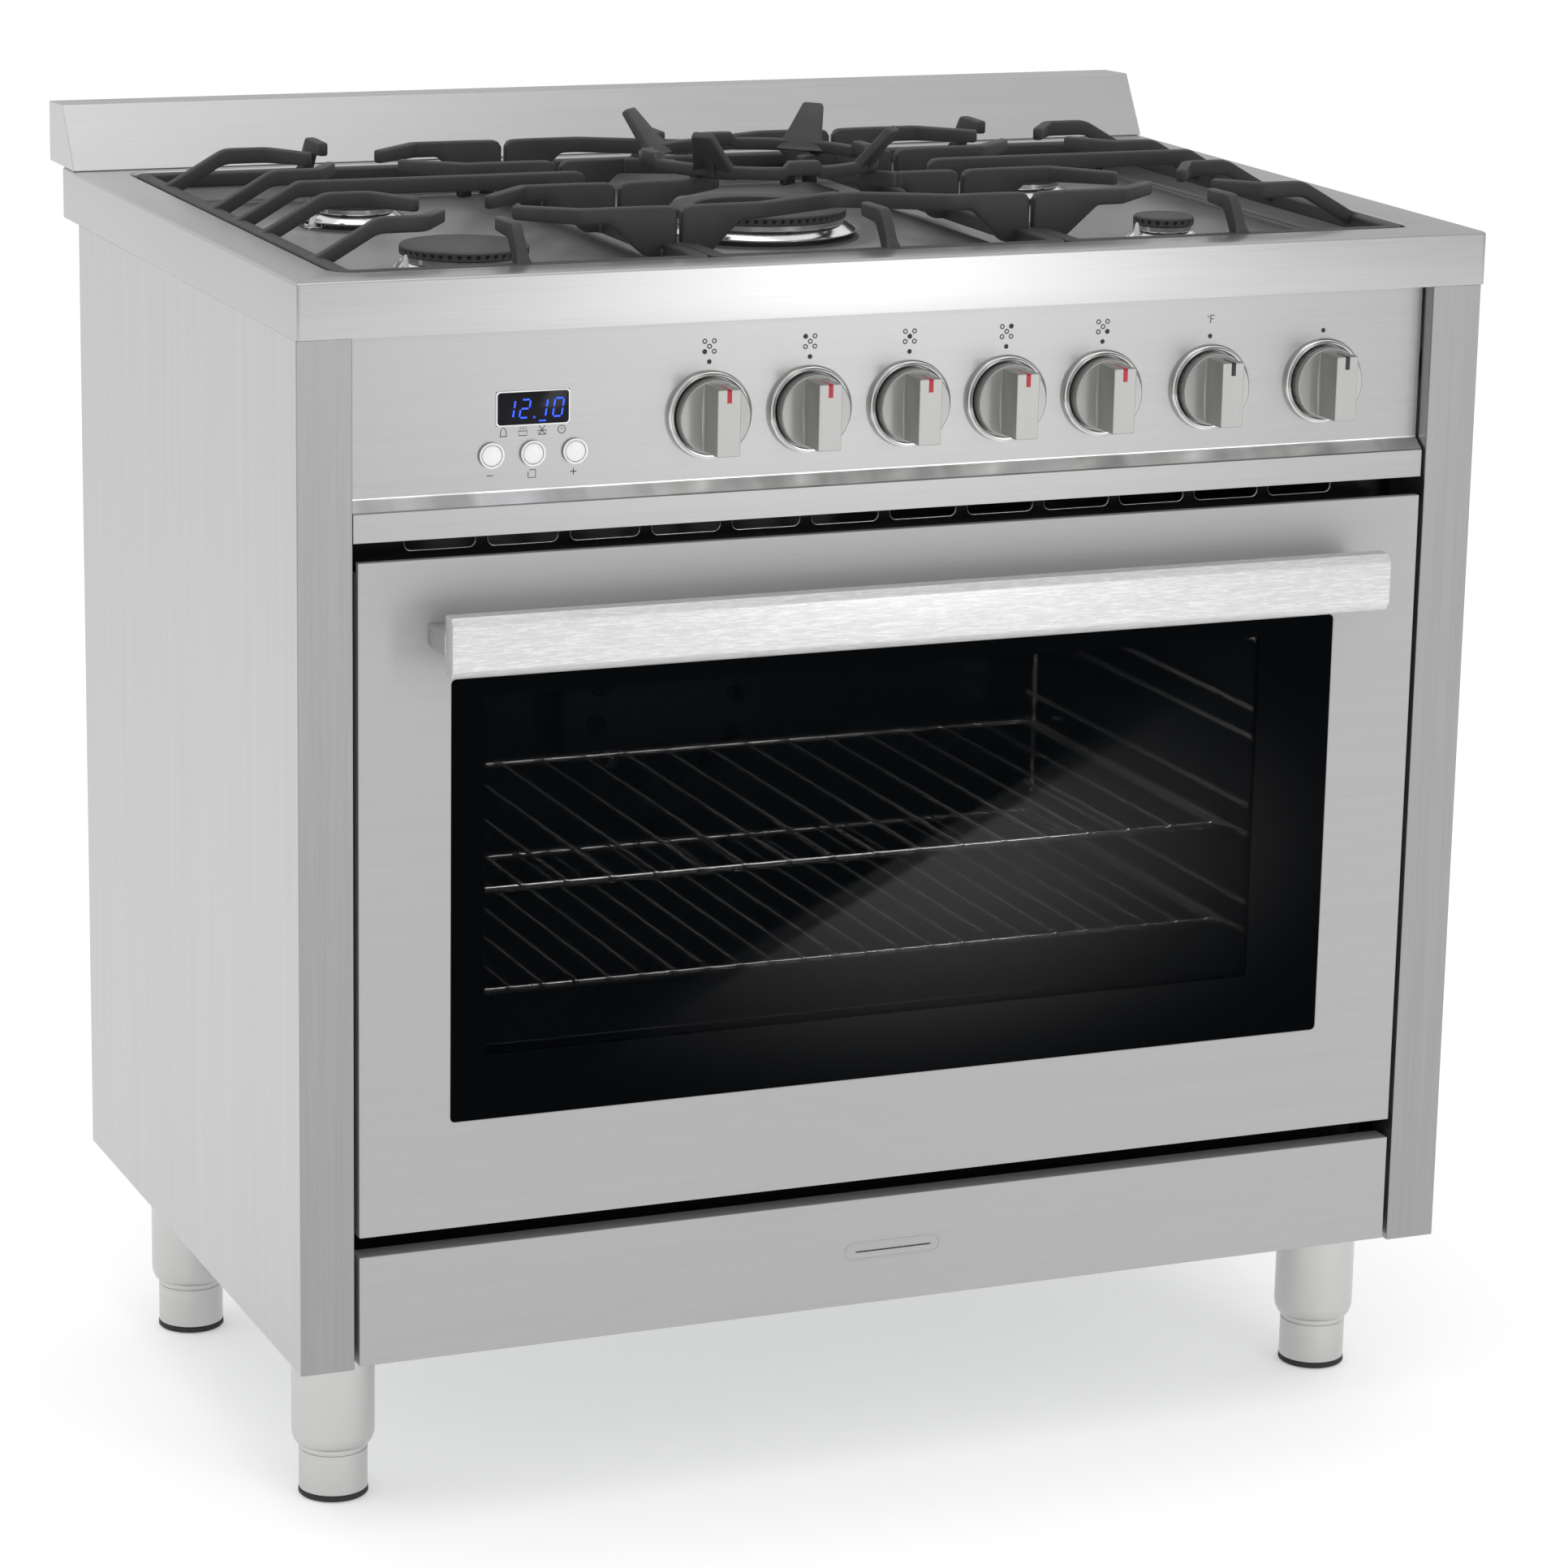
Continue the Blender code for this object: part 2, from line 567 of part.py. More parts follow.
def gas_rail():
    """The manifold with a valve behind each burner knob and a body behind the two oven knobs."""
    ends = (KNOB_X[0] - 0.045, SUPPLY_X)
    rail = rod("gas_rail", at(ends[0], RAIL_DEPTH, KNOB_HEIGHT), at(ends[1], RAIL_DEPTH, KNOB_HEIGHT),
               RAIL_RADIUS, BRASS, 10)
    pieces = [rod_mesh("supply", at(SUPPLY_X, RAIL_DEPTH - RAIL_RADIUS * 0.7, KNOB_HEIGHT),
                       at(SUPPLY_X, INLET_DEPTH, KNOB_HEIGHT), RAIL_RADIUS * 1.03, 16)]
    behind = FASCIA_SETBACK + 0.009
    for index, x in enumerate(KNOB_X):
        radius = VALVE_RADIUS * (1.0 if index < 5 else 1.25)
        pieces.append(rod_mesh("valve", at(x, behind, KNOB_HEIGHT), at(x, RAIL_DEPTH + 0.002 * index / 7,
                                                                      KNOB_HEIGHT), radius, 8))
    pieces.append(rod_mesh("nut", at(SUPPLY_X, BODY_BACK + 0.008, KNOB_HEIGHT),
                           at(SUPPLY_X, BODY_BACK + 0.024, KNOB_HEIGHT), RAIL_RADIUS + 0.006, 6))
    join_all(rail, "gas_rail_pieces", pieces)
    for x in KNOB_X:
        cut(rail, rod("spindle_bore", at(x, behind - 0.005, KNOB_HEIGHT), at(x, SPINDLE_END + 0.001, KNOB_HEIGHT),
                      SPINDLE_RADIUS + SPINDLE_CLEARANCE, sides=10))
    mouth = rod("inlet_bore", at(SUPPLY_X, INLET_DEPTH - 0.02, KNOB_HEIGHT),
                at(SUPPLY_X, INLET_DEPTH + 0.01, KNOB_HEIGHT), 0.0055, sides=16)
    cut(rail, mouth)


# ---------------------------------------------------------------- oven
def oven_cavity():
    """The enamelled muffle welded to its front frame; the frame's top is slotted for the cooling air."""
    frame_top = BULLNOSE_BOTTOM + FRAME_TOP_LAP
    shell = block("oven_cavity", at(-FASCIA_HALF, FRAME_FRONT, FRAME_BOTTOM),
                  at(FASCIA_HALF, FRAME_FRONT + FRAME_SHEET, frame_top), ENAMEL)
    wall = FRAME_SHEET
    outside = block_mesh("muffle", at(-CAVITY_HALF_WIDTH - wall, FRAME_FRONT + wall / 2, CAVITY_FLOOR - wall),
                         at(CAVITY_HALF_WIDTH + wall, CAVITY_BACK + wall, CAVITY_TOP + wall))
    join_all(shell, "muffle", [outside])
    inside = block("muffle_hollow", at(-CAVITY_HALF_WIDTH, FRAME_FRONT - 0.01, CAVITY_FLOOR),
                   at(CAVITY_HALF_WIDTH, CAVITY_BACK, CAVITY_TOP), corner=0.006, segments=2, axis=1)
    cut(shell, inside)
    cut(shell, rod("fan_hole", at(0, CAVITY_BACK - 0.01, FAN_HEIGHT), at(0, CAVITY_BACK + 0.02, FAN_HEIGHT),
                   0.008, sides=16))
    low = DOOR_TOP - VENT_BOTTOM
    for index in range(VENT_SLOTS):
        x = (index - (VENT_SLOTS - 1) / 2) * VENT_PITCH
        cut(shell, block("vent_slot", at(x - VENT_LENGTH / 2, FRAME_FRONT - 0.005, low),
                         at(x + VENT_LENGTH / 2, FRAME_FRONT + 0.01, low + VENT_HEIGHT),
                         corner=VENT_CORNER, segments=2, axis=1))


def oven_burner():
    """A U-shaped gas burner tube under the oven floor."""
    height = (CAVITY_FLOOR - FRAME_SHEET + FRAME_BOTTOM) / 2 + 0.010
    radius = 0.0095
    tube = rod("oven_burner", at(-0.150, 0.130, height), at(-0.150, 0.430, height), radius, ENAMEL, 14)
    join_all(tube, "oven_burner_pieces", [
        rod_mesh("arm", at(0.150, 0.130, height), at(0.150, 0.430, height), radius, 14),
        rod_mesh("bow", at(-0.152, 0.426, height), at(0.152, 0.426, height), radius * 1.02, 14),
        rod_mesh("feed", at(0.0, 0.424, height), at(0.0, 0.500, height), radius * 0.98, 14)])


def fan_and_cover():
    """The convection fan on the rear wall and the pierced dish in front of it."""
    back = CAVITY_BACK - GAP
    radius, rise = FAN_COVER_RADIUS, 0.034
    wall = 0.0012
    profile = [(0, rise), (radius - 0.012, rise), (radius, 0.006), (radius, wall), (radius + 0.012, wall),
               (radius + 0.012, 0), (radius - wall, 0), (radius - wall, 0.006),
               (radius - 0.012 - wall, rise - wall), (0, rise - wall)]
    cover = turned("fan_cover", profile, at(0, back, FAN_HEIGHT), ENAMEL, ROUND, "Y")
    for index in range(FAN_COVER_HOLES):
        angle = (index + 0.27) * 2 * math.pi / FAN_COVER_HOLES
        x, z = FAN_COVER_RING * math.cos(angle), FAN_COVER_RING * math.sin(angle)
        cut(cover, rod("cover_hole", at(x, back - rise - 0.01, FAN_HEIGHT + z),
                       at(x, back - rise + 0.01, FAN_HEIGHT + z), 0.0085, sides=8))
    hub_front = back - rise + wall + 0.006
    fan = rod("convection_fan", at(0, hub_front, FAN_HEIGHT), at(0, CAVITY_BACK + 0.030, FAN_HEIGHT), 0.0040,
              GALVANISED, 12)
    fan.location = at(0, hub_front, FAN_HEIGHT)
    fan.data.transform(Matrix.Translation(-fan.location))
    disc = rod_mesh("fan_disc", at(0, back - 0.0065, FAN_HEIGHT), at(0, back - 0.0050, FAN_HEIGHT), 0.070, 24)
    hub = rod_mesh("fan_hub", at(0, hub_front + 0.001, FAN_HEIGHT), at(0, back - 0.0055, FAN_HEIGHT), 0.012, 12)
    blades = []
    for index in range(8):
        blade = block_mesh("blade", (0.034, -0.0005, 0), (0.069, 0.0005, 0.017))
        turn = Matrix.Rotation(index * math.pi / 4, 4, "Z") @ Matrix.Translation((0.004, 0, 0))
        blade.transform(axes((1, 0, 0), (0, 0, 1), (0, -1, 0), at(0, back - 0.0055, FAN_HEIGHT)) @ turn)
        blades.append(blade)
    join_all(fan, "fan_pieces", [disc, hub, *blades])


def rack_guides():
    """A welded wire frame on each cavity wall: two uprights and a pair of rungs at each shelf level."""
    for side, hand in ((-1, "left"), (1, "right")):
        post_x = side * (CAVITY_HALF_WIDTH - GUIDE_WIRE - 0.004)
        rung_x = post_x - side * (GUIDE_WIRE * 1.4)
        front, back = RACK_FRONT - 0.022, RACK_BACK + 0.020
        top, bottom = CAVITY_TOP - 0.030, CAVITY_FLOOR + 0.020
        guide = rod(f"rack_guide_{hand}", at(post_x, front, bottom), at(post_x, front, top), GUIDE_WIRE, CHROME, 6)
        wires = [rod_mesh("post", at(post_x, back, bottom), at(post_x, back, top), GUIDE_WIRE, 6)]
        for level in GUIDE_LEVELS:
            for rise in (0, GUIDE_PAIR):
                height = CAVITY_TOP - level + rise
                wires.append(rod_mesh("rung", at(rung_x, front - 0.006, height), at(rung_x, back + 0.006, height),
                                      GUIDE_WIRE, 4))
        join_all(guide, f"guide_wires_{hand}", wires)


def rack_bottom(level):
    return CAVITY_TOP - GUIDE_LEVELS[level] + GUIDE_WIRE + GAP


def racks():
    """Wire shelves: a rail all round and rods from front to back over it."""
    for name, level, rods in (("rack_upper", UPPER_LEVEL, 18), ("rack_lower", LOWER_LEVEL, 24)):
        middle = rack_bottom(level) + RACK_RAIL
        half = RACK_HALF_WIDTH
        rack = rod(name, at(-half, RACK_FRONT, middle), at(half, RACK_FRONT, middle), RACK_RAIL, CHROME, 8)
        wires = [rod_mesh("rail", at(-half, RACK_BACK, middle), at(half, RACK_BACK, middle), RACK_RAIL, 8)]
        for side in (-1, 1):
            wires.append(rod_mesh("end", at(side * (half - 0.0005), RACK_FRONT - 0.002, middle + 0.0001),
                                  at(side * (half - 0.0005), RACK_BACK + 0.002, middle + 0.0001),
                                  RACK_RAIL * 1.02, 8))
        pitch = 2 * (half - 0.010) / (rods + 1)
        for index in range(rods):
            x = (index - (rods - 1) / 2) * pitch
            wires.append(rod_mesh("rod", at(x, RACK_FRONT - 0.0015, middle + 0.0022),
                                  at(x, RACK_BACK + 0.0015, middle + 0.0022), RACK_ROD, 4))
        join_all(rack, f"{name}_wires", wires)


# ---------------------------------------------------------------- door
def door():
    """Outer skin, outer glass, inner liner and inner glass, with a hinge cheek at each lower corner."""
    skin = block("door_skin", at(-DOOR_HALF, DOOR_FRONT, DOOR_BOTTOM),
                 at(DOOR_HALF, DOOR_FRONT + DOOR_SKIN_FLANGE, DOOR_TOP), STEEL)
    cut(skin, block("skin_hollow", at(-DOOR_HALF + SHEET, DOOR_FRONT + SHEET, DOOR_BOTTOM + SHEET),
                    at(DOOR_HALF - SHEET, DOOR_FRONT + DOOR_SKIN_FLANGE + 0.01, DOOR_TOP - SHEET)))
    cut(skin, block("skin_window", at(-WINDOW_HALF_WIDTH, DOOR_FRONT - 0.01, WINDOW_BOTTOM),
                    at(WINDOW_HALF_WIDTH, DOOR_FRONT + 0.005, WINDOW_TOP), corner=0.003, segments=2, axis=1))
    cut(skin, block("skin_top", at(-DOOR_HALF - 0.01, DOOR_FRONT + 0.006, DOOR_TOP - 0.008),
                    at(DOOR_HALF + 0.01, DOOR_FRONT + 0.05, DOOR_TOP + 0.01)))
    edge = 0.0004
    block("door_glass", at(-WINDOW_HALF_WIDTH + edge, DOOR_FRONT + 0.0004, WINDOW_BOTTOM + edge),
          at(WINDOW_HALF_WIDTH - edge, DOOR_FRONT + 0.0004 + GLASS, WINDOW_TOP - edge), BLACK_GLASS,
          corner=0.003, segments=2, axis=1)
    liner_half = DOOR_HALF - LINER_SIDE_INSET
    liner_front = DOOR_FRONT + DOOR_SKIN_FLANGE - 0.008
    low, high = DOOR_BOTTOM + SHEET + 0.0016, DOOR_TOP - LINER_TOP_DROP
    liner = block("door_liner", at(-liner_half, liner_front, low), at(liner_half, DOOR_BACK, high), ENAMEL)
    wall = 0.0015
    cut(liner, block("liner_hollow", at(-liner_half + wall, liner_front - 0.01, low + wall),
                     at(liner_half - wall, DOOR_BACK - wall, high - wall)))
    inset = INNER_WINDOW_INSET
    hole = (at(-WINDOW_HALF_WIDTH + inset, DOOR_BACK - 0.01, WINDOW_BOTTOM + inset),
            at(WINDOW_HALF_WIDTH - inset, DOOR_BACK + 0.01, WINDOW_TOP - inset * 0.35))
    cut(liner, block("liner_window", *hole, corner=0.006, segments=2, axis=1))
    lap = 0.008
    pane_back = DOOR_BACK - wall - GAP
    block("inner_glass", (hole[0][0] - lap, depth(pane_back - GLASS), hole[0][2] - lap),
          (hole[1][0] + lap, depth(pane_back), hole[1][2] + lap), CLEAR_GLASS)
    for side, hand in ((-1, "left"), (1, "right")):
        inner = side * (liner_half - wall - 0.004)
        cheek = rod(f"door_hinge_{hand}", at(inner, HINGE_DEPTH, HINGE_HEIGHT),
                    at(inner - side * 0.004, HINGE_DEPTH, HINGE_HEIGHT), HINGE_BARREL, GALVANISED, 16)
        ends = sorted((inner - side * 0.0002, inner - side * 0.0038))
        arm = block_mesh("arm", at(ends[0], HINGE_DEPTH - 0.006, HINGE_HEIGHT),
                         at(ends[1], HINGE_DEPTH + 0.006, HINGE_HEIGHT + 0.090))
        join_all(cheek, f"hinge_arm_{hand}", [arm])


def handle():
    """A flat-faced bar with chamfered long edges, on two posts fixed to the door."""
    back = HANDLE_THICKNESS - HANDLE_REACH
    front = -HANDLE_REACH
    half, flat = HANDLE_HEIGHT / 2, HANDLE_FLAT / 2
    middle = HANDLE_HEIGHT_AT
    outline = [(depth(front), middle - flat), (depth(front), middle + flat),
               (depth(front + HANDLE_CHAMFER), middle + half), (depth(back - 0.005), middle + half - 0.001),
               (depth(back), middle + flat * 0.7), (depth(back), middle - flat * 0.7),
               (depth(back - 0.005), middle - half + 0.001), (depth(front + HANDLE_CHAMFER), middle - half)]
    place("handle_bar", prism_mesh("handle_bar", outline, -HANDLE_HALF_LENGTH, HANDLE_HALF_LENGTH, ACROSS), BRIGHT)
    for side, hand in ((-1, "left"), (1, "right")):
        outer = side * HANDLE_HALF_LENGTH
        inner = outer - side * POST_WIDTH
        block(f"handle_post_{hand}", at(min(outer, inner), back + GAP, middle - POST_HEIGHT / 2),
              at(max(outer, inner), DOOR_FRONT - GAP, middle + POST_HEIGHT / 2), BRIGHT)


# ---------------------------------------------------------------- drawer
def drawer():
    """The drawer's steel front and the tray behind it."""
    front = block("drawer_front", at(-DOOR_HALF, DOOR_FRONT, DRAWER_BOTTOM),
                  at(DOOR_HALF, DOOR_FRONT + DRAWER_FRONT_THICKNESS, DRAWER_TOP), STEEL)
    cut(front, block("front_hollow", at(-DOOR_HALF + SHEET, DOOR_FRONT + SHEET, DRAWER_BOTTOM + SHEET),
                     at(DOOR_HALF - SHEET, DOOR_FRONT + 0.05, DRAWER_TOP - SHEET)))
    low, high = LEG_HEIGHT + 0.0006 + SHEET + TRAY_CLEARANCE, FRAME_BOTTOM - TRAY_CLEARANCE
    tray_front = DOOR_FRONT + DRAWER_FRONT_THICKNESS + GAP
    tray = block("drawer_tray", at(-TRAY_HALF_WIDTH, tray_front, low), at(TRAY_HALF_WIDTH, DRAWER_BACK, high),
                 GALVANISED)
    cut(tray, block("tray_hollow", at(-TRAY_HALF_WIDTH + SHEET, tray_front + SHEET, low + SHEET),
                    at(TRAY_HALF_WIDTH - SHEET, DRAWER_BACK - SHEET, high + 0.02)))


# ---------------------------------------------------------------- hob
def burner_places():
    """(x, depth, sizes) of each burner: cap and skirt radii and the throat under the pan."""
    front, rear = HOB_MIDDLE - BURNER_OFFSET, HOB_MIDDLE + BURNER_OFFSET
    rapid = {"name": "rapid", "cap": 0.046, "body": 0.050, "throat": 0.030}
    semi = {"name": "semi", "cap": 0.032, "body": 0.039, "throat": 0.024}
    small = {"name": "auxiliary", "cap": 0.0225, "body": 0.028, "throat": 0.017}
    triple = {"name": "triple", "cap": 0.066, "body": 0.073, "throat": 0.040}
    return ((-BURNER_X, front, {**rapid, "node": "front_left"}), (-BURNER_X, rear, {**semi, "node": "back_left"}),
            (0.0, HOB_MIDDLE, {**triple, "node": "centre"}), (BURNER_X, rear, {**semi, "node": "back_right"}),
            (BURNER_X, front, {**small, "node": "front_right"}))


def burners():
    """Aluminium flame spreader standing on the pan, its throat through the hole, and an iron cap on it."""
    base = PAN + GAP
    cap_top = RIM - CAP_TOP_DROP
    for x, distance, size in burner_places():
        cap, body, throat = size["cap"], size["body"], size["throat"]
        cap_bottom = cap_top - 0.0065
        centre = at(x, distance, 0)
        rim = cap - 0.002
        sump = base - 0.022
        inside = throat - 0.004
        core = [(0, sump + 0.003)]
        if size["name"] == "triple":
            core = [(0, cap_top - 0.001), (INNER_CAP - 0.001, cap_top - 0.001), (INNER_CAP, cap_top - 0.003),
                    (INNER_CAP, sump + 0.003)]
        profile = core + [(inside, sump + 0.003), (inside, base + 0.002), (rim - 0.006, base + 0.002),
                          (rim - 0.006, cap_bottom - GAP), (rim, cap_bottom - GAP), (rim, cap_bottom - 0.004),
                          (body, base + 0.005), (body, base), (throat, base), (throat, sump), (0, sump)]
        turned(f"burner_{size['node']}", profile, centre, ALUMINIUM, ROUND)
        if size["name"] == "triple":
            hole = cap - 0.018
            ring = [(hole, cap_top), (cap - 0.0012, cap_top), (cap, cap_top - 0.0012), (cap, cap_bottom),
                    (hole, cap_bottom), (hole, cap_top)]
            turned(f"cap_{size['node']}", ring, centre, IRON, ROUND)
        else:
            turned(f"cap_{size['node']}", [(0, cap_top), (cap - 0.0012, cap_top), (cap, cap_top - 0.0012),
                                           (cap, cap_bottom), (0, cap_bottom)], centre, IRON, ROUND)


def bar_mesh(outline, x_side, distance, thickness):
    """A flat upright bar: its outline in (x, height above the rim), across one row."""
    points = [(x_side * x, RIM + height) for x, height in outline]
    return prism_mesh("bar", points, -depth(distance) - thickness / 2, -depth(distance) + thickness / 2, BACKWARD)


def finger_end(start, tip, thickness=FINGER):
    """The level end of a finger, from its bend to its tip; start and tip are (x, depth)."""
    a, b = Vector(start), Vector(tip)
    run = (b - a).normalized()
    across = Vector((-run.y, run.x)) * thickness / 2
    a -= run * thickness * 0.45
    corners = [a + across, b + across, b - across, a - across]
    outline = [(c.x, depth(c.y)) for c in corners]
    return prism_mesh("end", outline, RIM + POT_HEIGHT - FINGER_HEIGHT - 0.0001, RIM + POT_HEIGHT - 0.0001, UPRIGHT)


def grate_frame(name, low_x, high_x):
    """The flat rounded frame that a grate is cast on, and its four feet standing on the pan."""
    near, far = HOB_MIDDLE - GRATE_HALF_DEPTH, HOB_MIDDLE + GRATE_HALF_DEPTH
    top = RIM - GRATE_TOP
    low = top - GRATE_BAR_HEIGHT
    bar = GRATE_BAR
    frame = block(name, at(low_x, near, low), at(high_x, far, top), IRON, corner=GRATE_CORNER, segments=4)
    cut(frame, block("frame_hollow", at(low_x + bar, near + bar, low - 0.01), at(high_x - bar, far - bar, top + 0.01),
                     corner=GRATE_CORNER - bar / 2, segments=2))
    feet = []
    for x in (low_x + 0.004, high_x - 0.004 - GRATE_FOOT):
        for distance in (near + 0.004, far - 0.004 - GRATE_FOOT):
            feet.append(block_mesh("foot", at(x, distance, PAN + GAP),
                                   at(x + GRATE_FOOT, distance + GRATE_FOOT, low + 0.002)))
    return frame, feet


def front_finger(x, sign):
    """The finger from the front bar (sign 1) or rear bar (sign -1) towards a burner, in the (y, z) plane."""
    near = HOB_MIDDLE - sign * (GRATE_HALF_DEPTH - 0.002)
    line = [(near, -0.006), (near, -0.0008), (near + sign * 0.012, 0.018), (near + sign * 0.018, POT_HEIGHT),
            (near + sign * 0.054, POT_HEIGHT), (near + sign * 0.054, POT_HEIGHT - FINGER_HEIGHT),
            (near + sign * 0.026, POT_HEIGHT - FINGER_HEIGHT), (near + sign * 0.014, -0.006)]
    outline = [(depth(d), RIM + h) for d, h in line]
    return prism_mesh("front_finger", outline, x - FINGER / 2, x + FINGER / 2, ACROSS)


def side_grates():
    """Left and right grates: a frame, raised fingers from the outer bar and upright plates on the inner bar."""
    inner = GRATE_SPLIT
    under = POT_HEIGHT - FINGER_HEIGHT
    for side, name in ((-1, "grate_left"), (1, "grate_right")):
        xs = sorted((side * GRATE_HALF_WIDTH, side * inner))
        grate, bars = grate_frame(name, xs[0], xs[1])
        edge = GRATE_HALF_WIDTH - 0.002
        knee = GRATE_HALF_WIDTH - KNEE
        for row in (-ROW_OUTER, -ROW_INNER, ROW_INNER, ROW_OUTER):
            distance = HOB_MIDDLE + row
            burner = HOB_MIDDLE + math.copysign(BURNER_OFFSET, row)
            toward = math.copysign(FINGER_REACH - 0.002, distance - burner)
            bend = BURNER_X + BEND
            bars.append(bar_mesh([(edge, -0.006), (edge, -0.0008), (knee, POT_HEIGHT), (bend, POT_HEIGHT),
                                  (bend, under), (knee - 0.002, under), (edge - 0.018, -0.006)],
                                 side, distance, FINGER))
            bars.append(finger_end((side * bend, distance), (side * (BURNER_X + FINGER_REACH), burner + toward)))
            turn_in = inner + 0.072
            bars.append(bar_mesh([(inner + 0.0008, -0.006), (inner + 0.0008, POT_HEIGHT - 0.004),
                                  (inner + 0.005, POT_HEIGHT), (turn_in, POT_HEIGHT), (turn_in, under),
                                  (inner + 0.052, under), (inner + 0.024, -0.006)], side, distance, FINGER))
            bars.append(finger_end((side * turn_in, distance), (side * (BURNER_X - FINGER_REACH), burner + toward)))
        bars.append(bar_mesh([(edge, -0.006), (edge, -0.0008), (knee, POT_HEIGHT), (inner + 0.005, POT_HEIGHT),
                              (inner + 0.0008, POT_HEIGHT - 0.004), (inner + 0.0008, -0.006),
                              (inner + 0.016, -0.006), (inner + 0.030, under), (knee - 0.002, under),
                              (edge - 0.018, -0.006)], side, HOB_MIDDLE, FINGER))
        bars += [front_finger(side * BURNER_X, 1), front_finger(side * BURNER_X, -1)]
        join_all(grate, f"{name}_bars", bars)


def centre_grate():
    """The middle grate: outer rows bowed towards the burner, inner rows short, with a finger front and rear."""
    half = GRATE_SPLIT - GRATE_SPLIT_GAP
    under = POT_HEIGHT - FINGER_HEIGHT
    grate, bars = grate_frame("grate_centre", -half, half)
    for row in (-ROW_OUTER, -ROW_INNER, ROW_INNER, ROW_OUTER):
        distance = HOB_MIDDLE + row
        outer_row = abs(row) == ROW_OUTER
        inward = math.copysign(1, -row)
        bend, tip = (0.075, 0.0) if outer_row else (0.085, 0.048)
        reach = 0.036 if outer_row else 0.022
        for side in (-1, 1):
            bars.append(bar_mesh([(half - 0.0008, -0.006), (half - 0.0008, POT_HEIGHT - 0.004),
                                  (half - 0.005, POT_HEIGHT), (bend, POT_HEIGHT), (bend, under),
                                  (half - 0.046, under), (half - 0.022, -0.006)], side, distance, FINGER))
            end = (side * (tip - 0.002 if outer_row else tip), distance + inward * reach)
            bars.append(finger_end((side * bend, distance), end))
    bars += [front_finger(0.0, 1), front_finger(0.0, -1)]
    join_all(grate, "grate_centre_bars", bars)


def wok_ring():
    """A cast ring standing on the centre grate, with four prongs that flare outwards."""
    base = RIM + POT_HEIGHT + GAP
    top = base + WOK_HEIGHT
    outer, inner = WOK_RADIUS, WOK_RADIUS - WOK_WALL
    ring = turned("wok_ring", [(inner, top), (outer, top), (outer, base), (inner, base), (inner, top)],
                  at(0, HOB_MIDDLE, 0), IRON, 32)
    shapes = []
    for index in range(4):
        angle = math.radians(45 + 90 * index)
        out = Vector((math.cos(angle), math.sin(angle), 0))
        across = Vector((-out.y, out.x, 0))
        start = WOK_RADIUS - WOK_WALL + 0.0005
        flare, rise = WOK_PRONG_FLARE, WOK_PRONG_RISE
        lean = Vector((out.x * flare, out.y * flare, rise)).normalized()
        face = across.cross(lean)
        origin = at(0, HOB_MIDDLE, 0) + out * (start + 0.003) + Vector((0, 0, base + 0.002))
        length = (flare ** 2 + (rise + WOK_HEIGHT) ** 2) ** 0.5
        outline = [(-0.015, 0), (0.015, 0), (0.008, length), (-0.008, length)]
        shapes.append(prism_mesh("prong", outline, -0.003, 0.003, axes(across, lean, face, origin)))
    join_all(ring, "wok_prongs", shapes)


side_panels()
back_panel()
base_pan()
legs_and_feet()
cooktop()
backguard()
control_panel()
clock_module()
buttons()
knobs()
gas_rail()
oven_cavity()
oven_burner()
fan_and_cover()
rack_guides()
racks()
door()
handle()
drawer()
burners()
side_grates()
centre_grate()
wok_ring()
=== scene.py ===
import json
import bmesh
import bpy
import numpy as np
from mathutils import Matrix, Vector

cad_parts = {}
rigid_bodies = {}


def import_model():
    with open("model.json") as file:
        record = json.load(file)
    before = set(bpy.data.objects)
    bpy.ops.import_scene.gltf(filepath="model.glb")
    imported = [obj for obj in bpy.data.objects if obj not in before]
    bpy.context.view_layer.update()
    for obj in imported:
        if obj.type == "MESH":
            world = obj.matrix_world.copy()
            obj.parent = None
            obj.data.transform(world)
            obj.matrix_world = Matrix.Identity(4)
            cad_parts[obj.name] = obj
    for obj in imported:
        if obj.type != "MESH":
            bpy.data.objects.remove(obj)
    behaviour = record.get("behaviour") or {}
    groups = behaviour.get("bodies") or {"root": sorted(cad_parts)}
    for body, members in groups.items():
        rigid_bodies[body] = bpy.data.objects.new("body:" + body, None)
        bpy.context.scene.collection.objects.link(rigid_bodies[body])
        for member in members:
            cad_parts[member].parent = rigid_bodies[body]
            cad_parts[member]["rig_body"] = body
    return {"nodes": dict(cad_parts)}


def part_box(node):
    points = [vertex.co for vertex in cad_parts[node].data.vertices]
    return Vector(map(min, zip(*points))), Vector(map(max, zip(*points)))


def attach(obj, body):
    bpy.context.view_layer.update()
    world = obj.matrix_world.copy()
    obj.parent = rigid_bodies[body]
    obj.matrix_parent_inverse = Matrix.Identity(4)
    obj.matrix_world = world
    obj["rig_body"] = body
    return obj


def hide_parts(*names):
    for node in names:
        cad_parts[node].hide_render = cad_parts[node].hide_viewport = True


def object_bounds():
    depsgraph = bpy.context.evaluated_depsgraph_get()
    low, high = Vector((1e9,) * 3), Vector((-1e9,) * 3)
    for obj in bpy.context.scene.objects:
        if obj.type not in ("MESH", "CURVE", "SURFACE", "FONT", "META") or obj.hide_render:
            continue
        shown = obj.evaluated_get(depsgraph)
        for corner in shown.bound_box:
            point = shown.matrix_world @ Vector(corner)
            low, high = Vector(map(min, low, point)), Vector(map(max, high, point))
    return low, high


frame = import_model()
cad_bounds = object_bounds()


# ---- Side panels -------------------------------------------------------------------------------------
# Two stainless sheets, brushed upright, each folded round its front edge into a 39 mm stile and hemmed
# inwards. They hang on the base pan and carry the hob; nothing is screwed from outside.

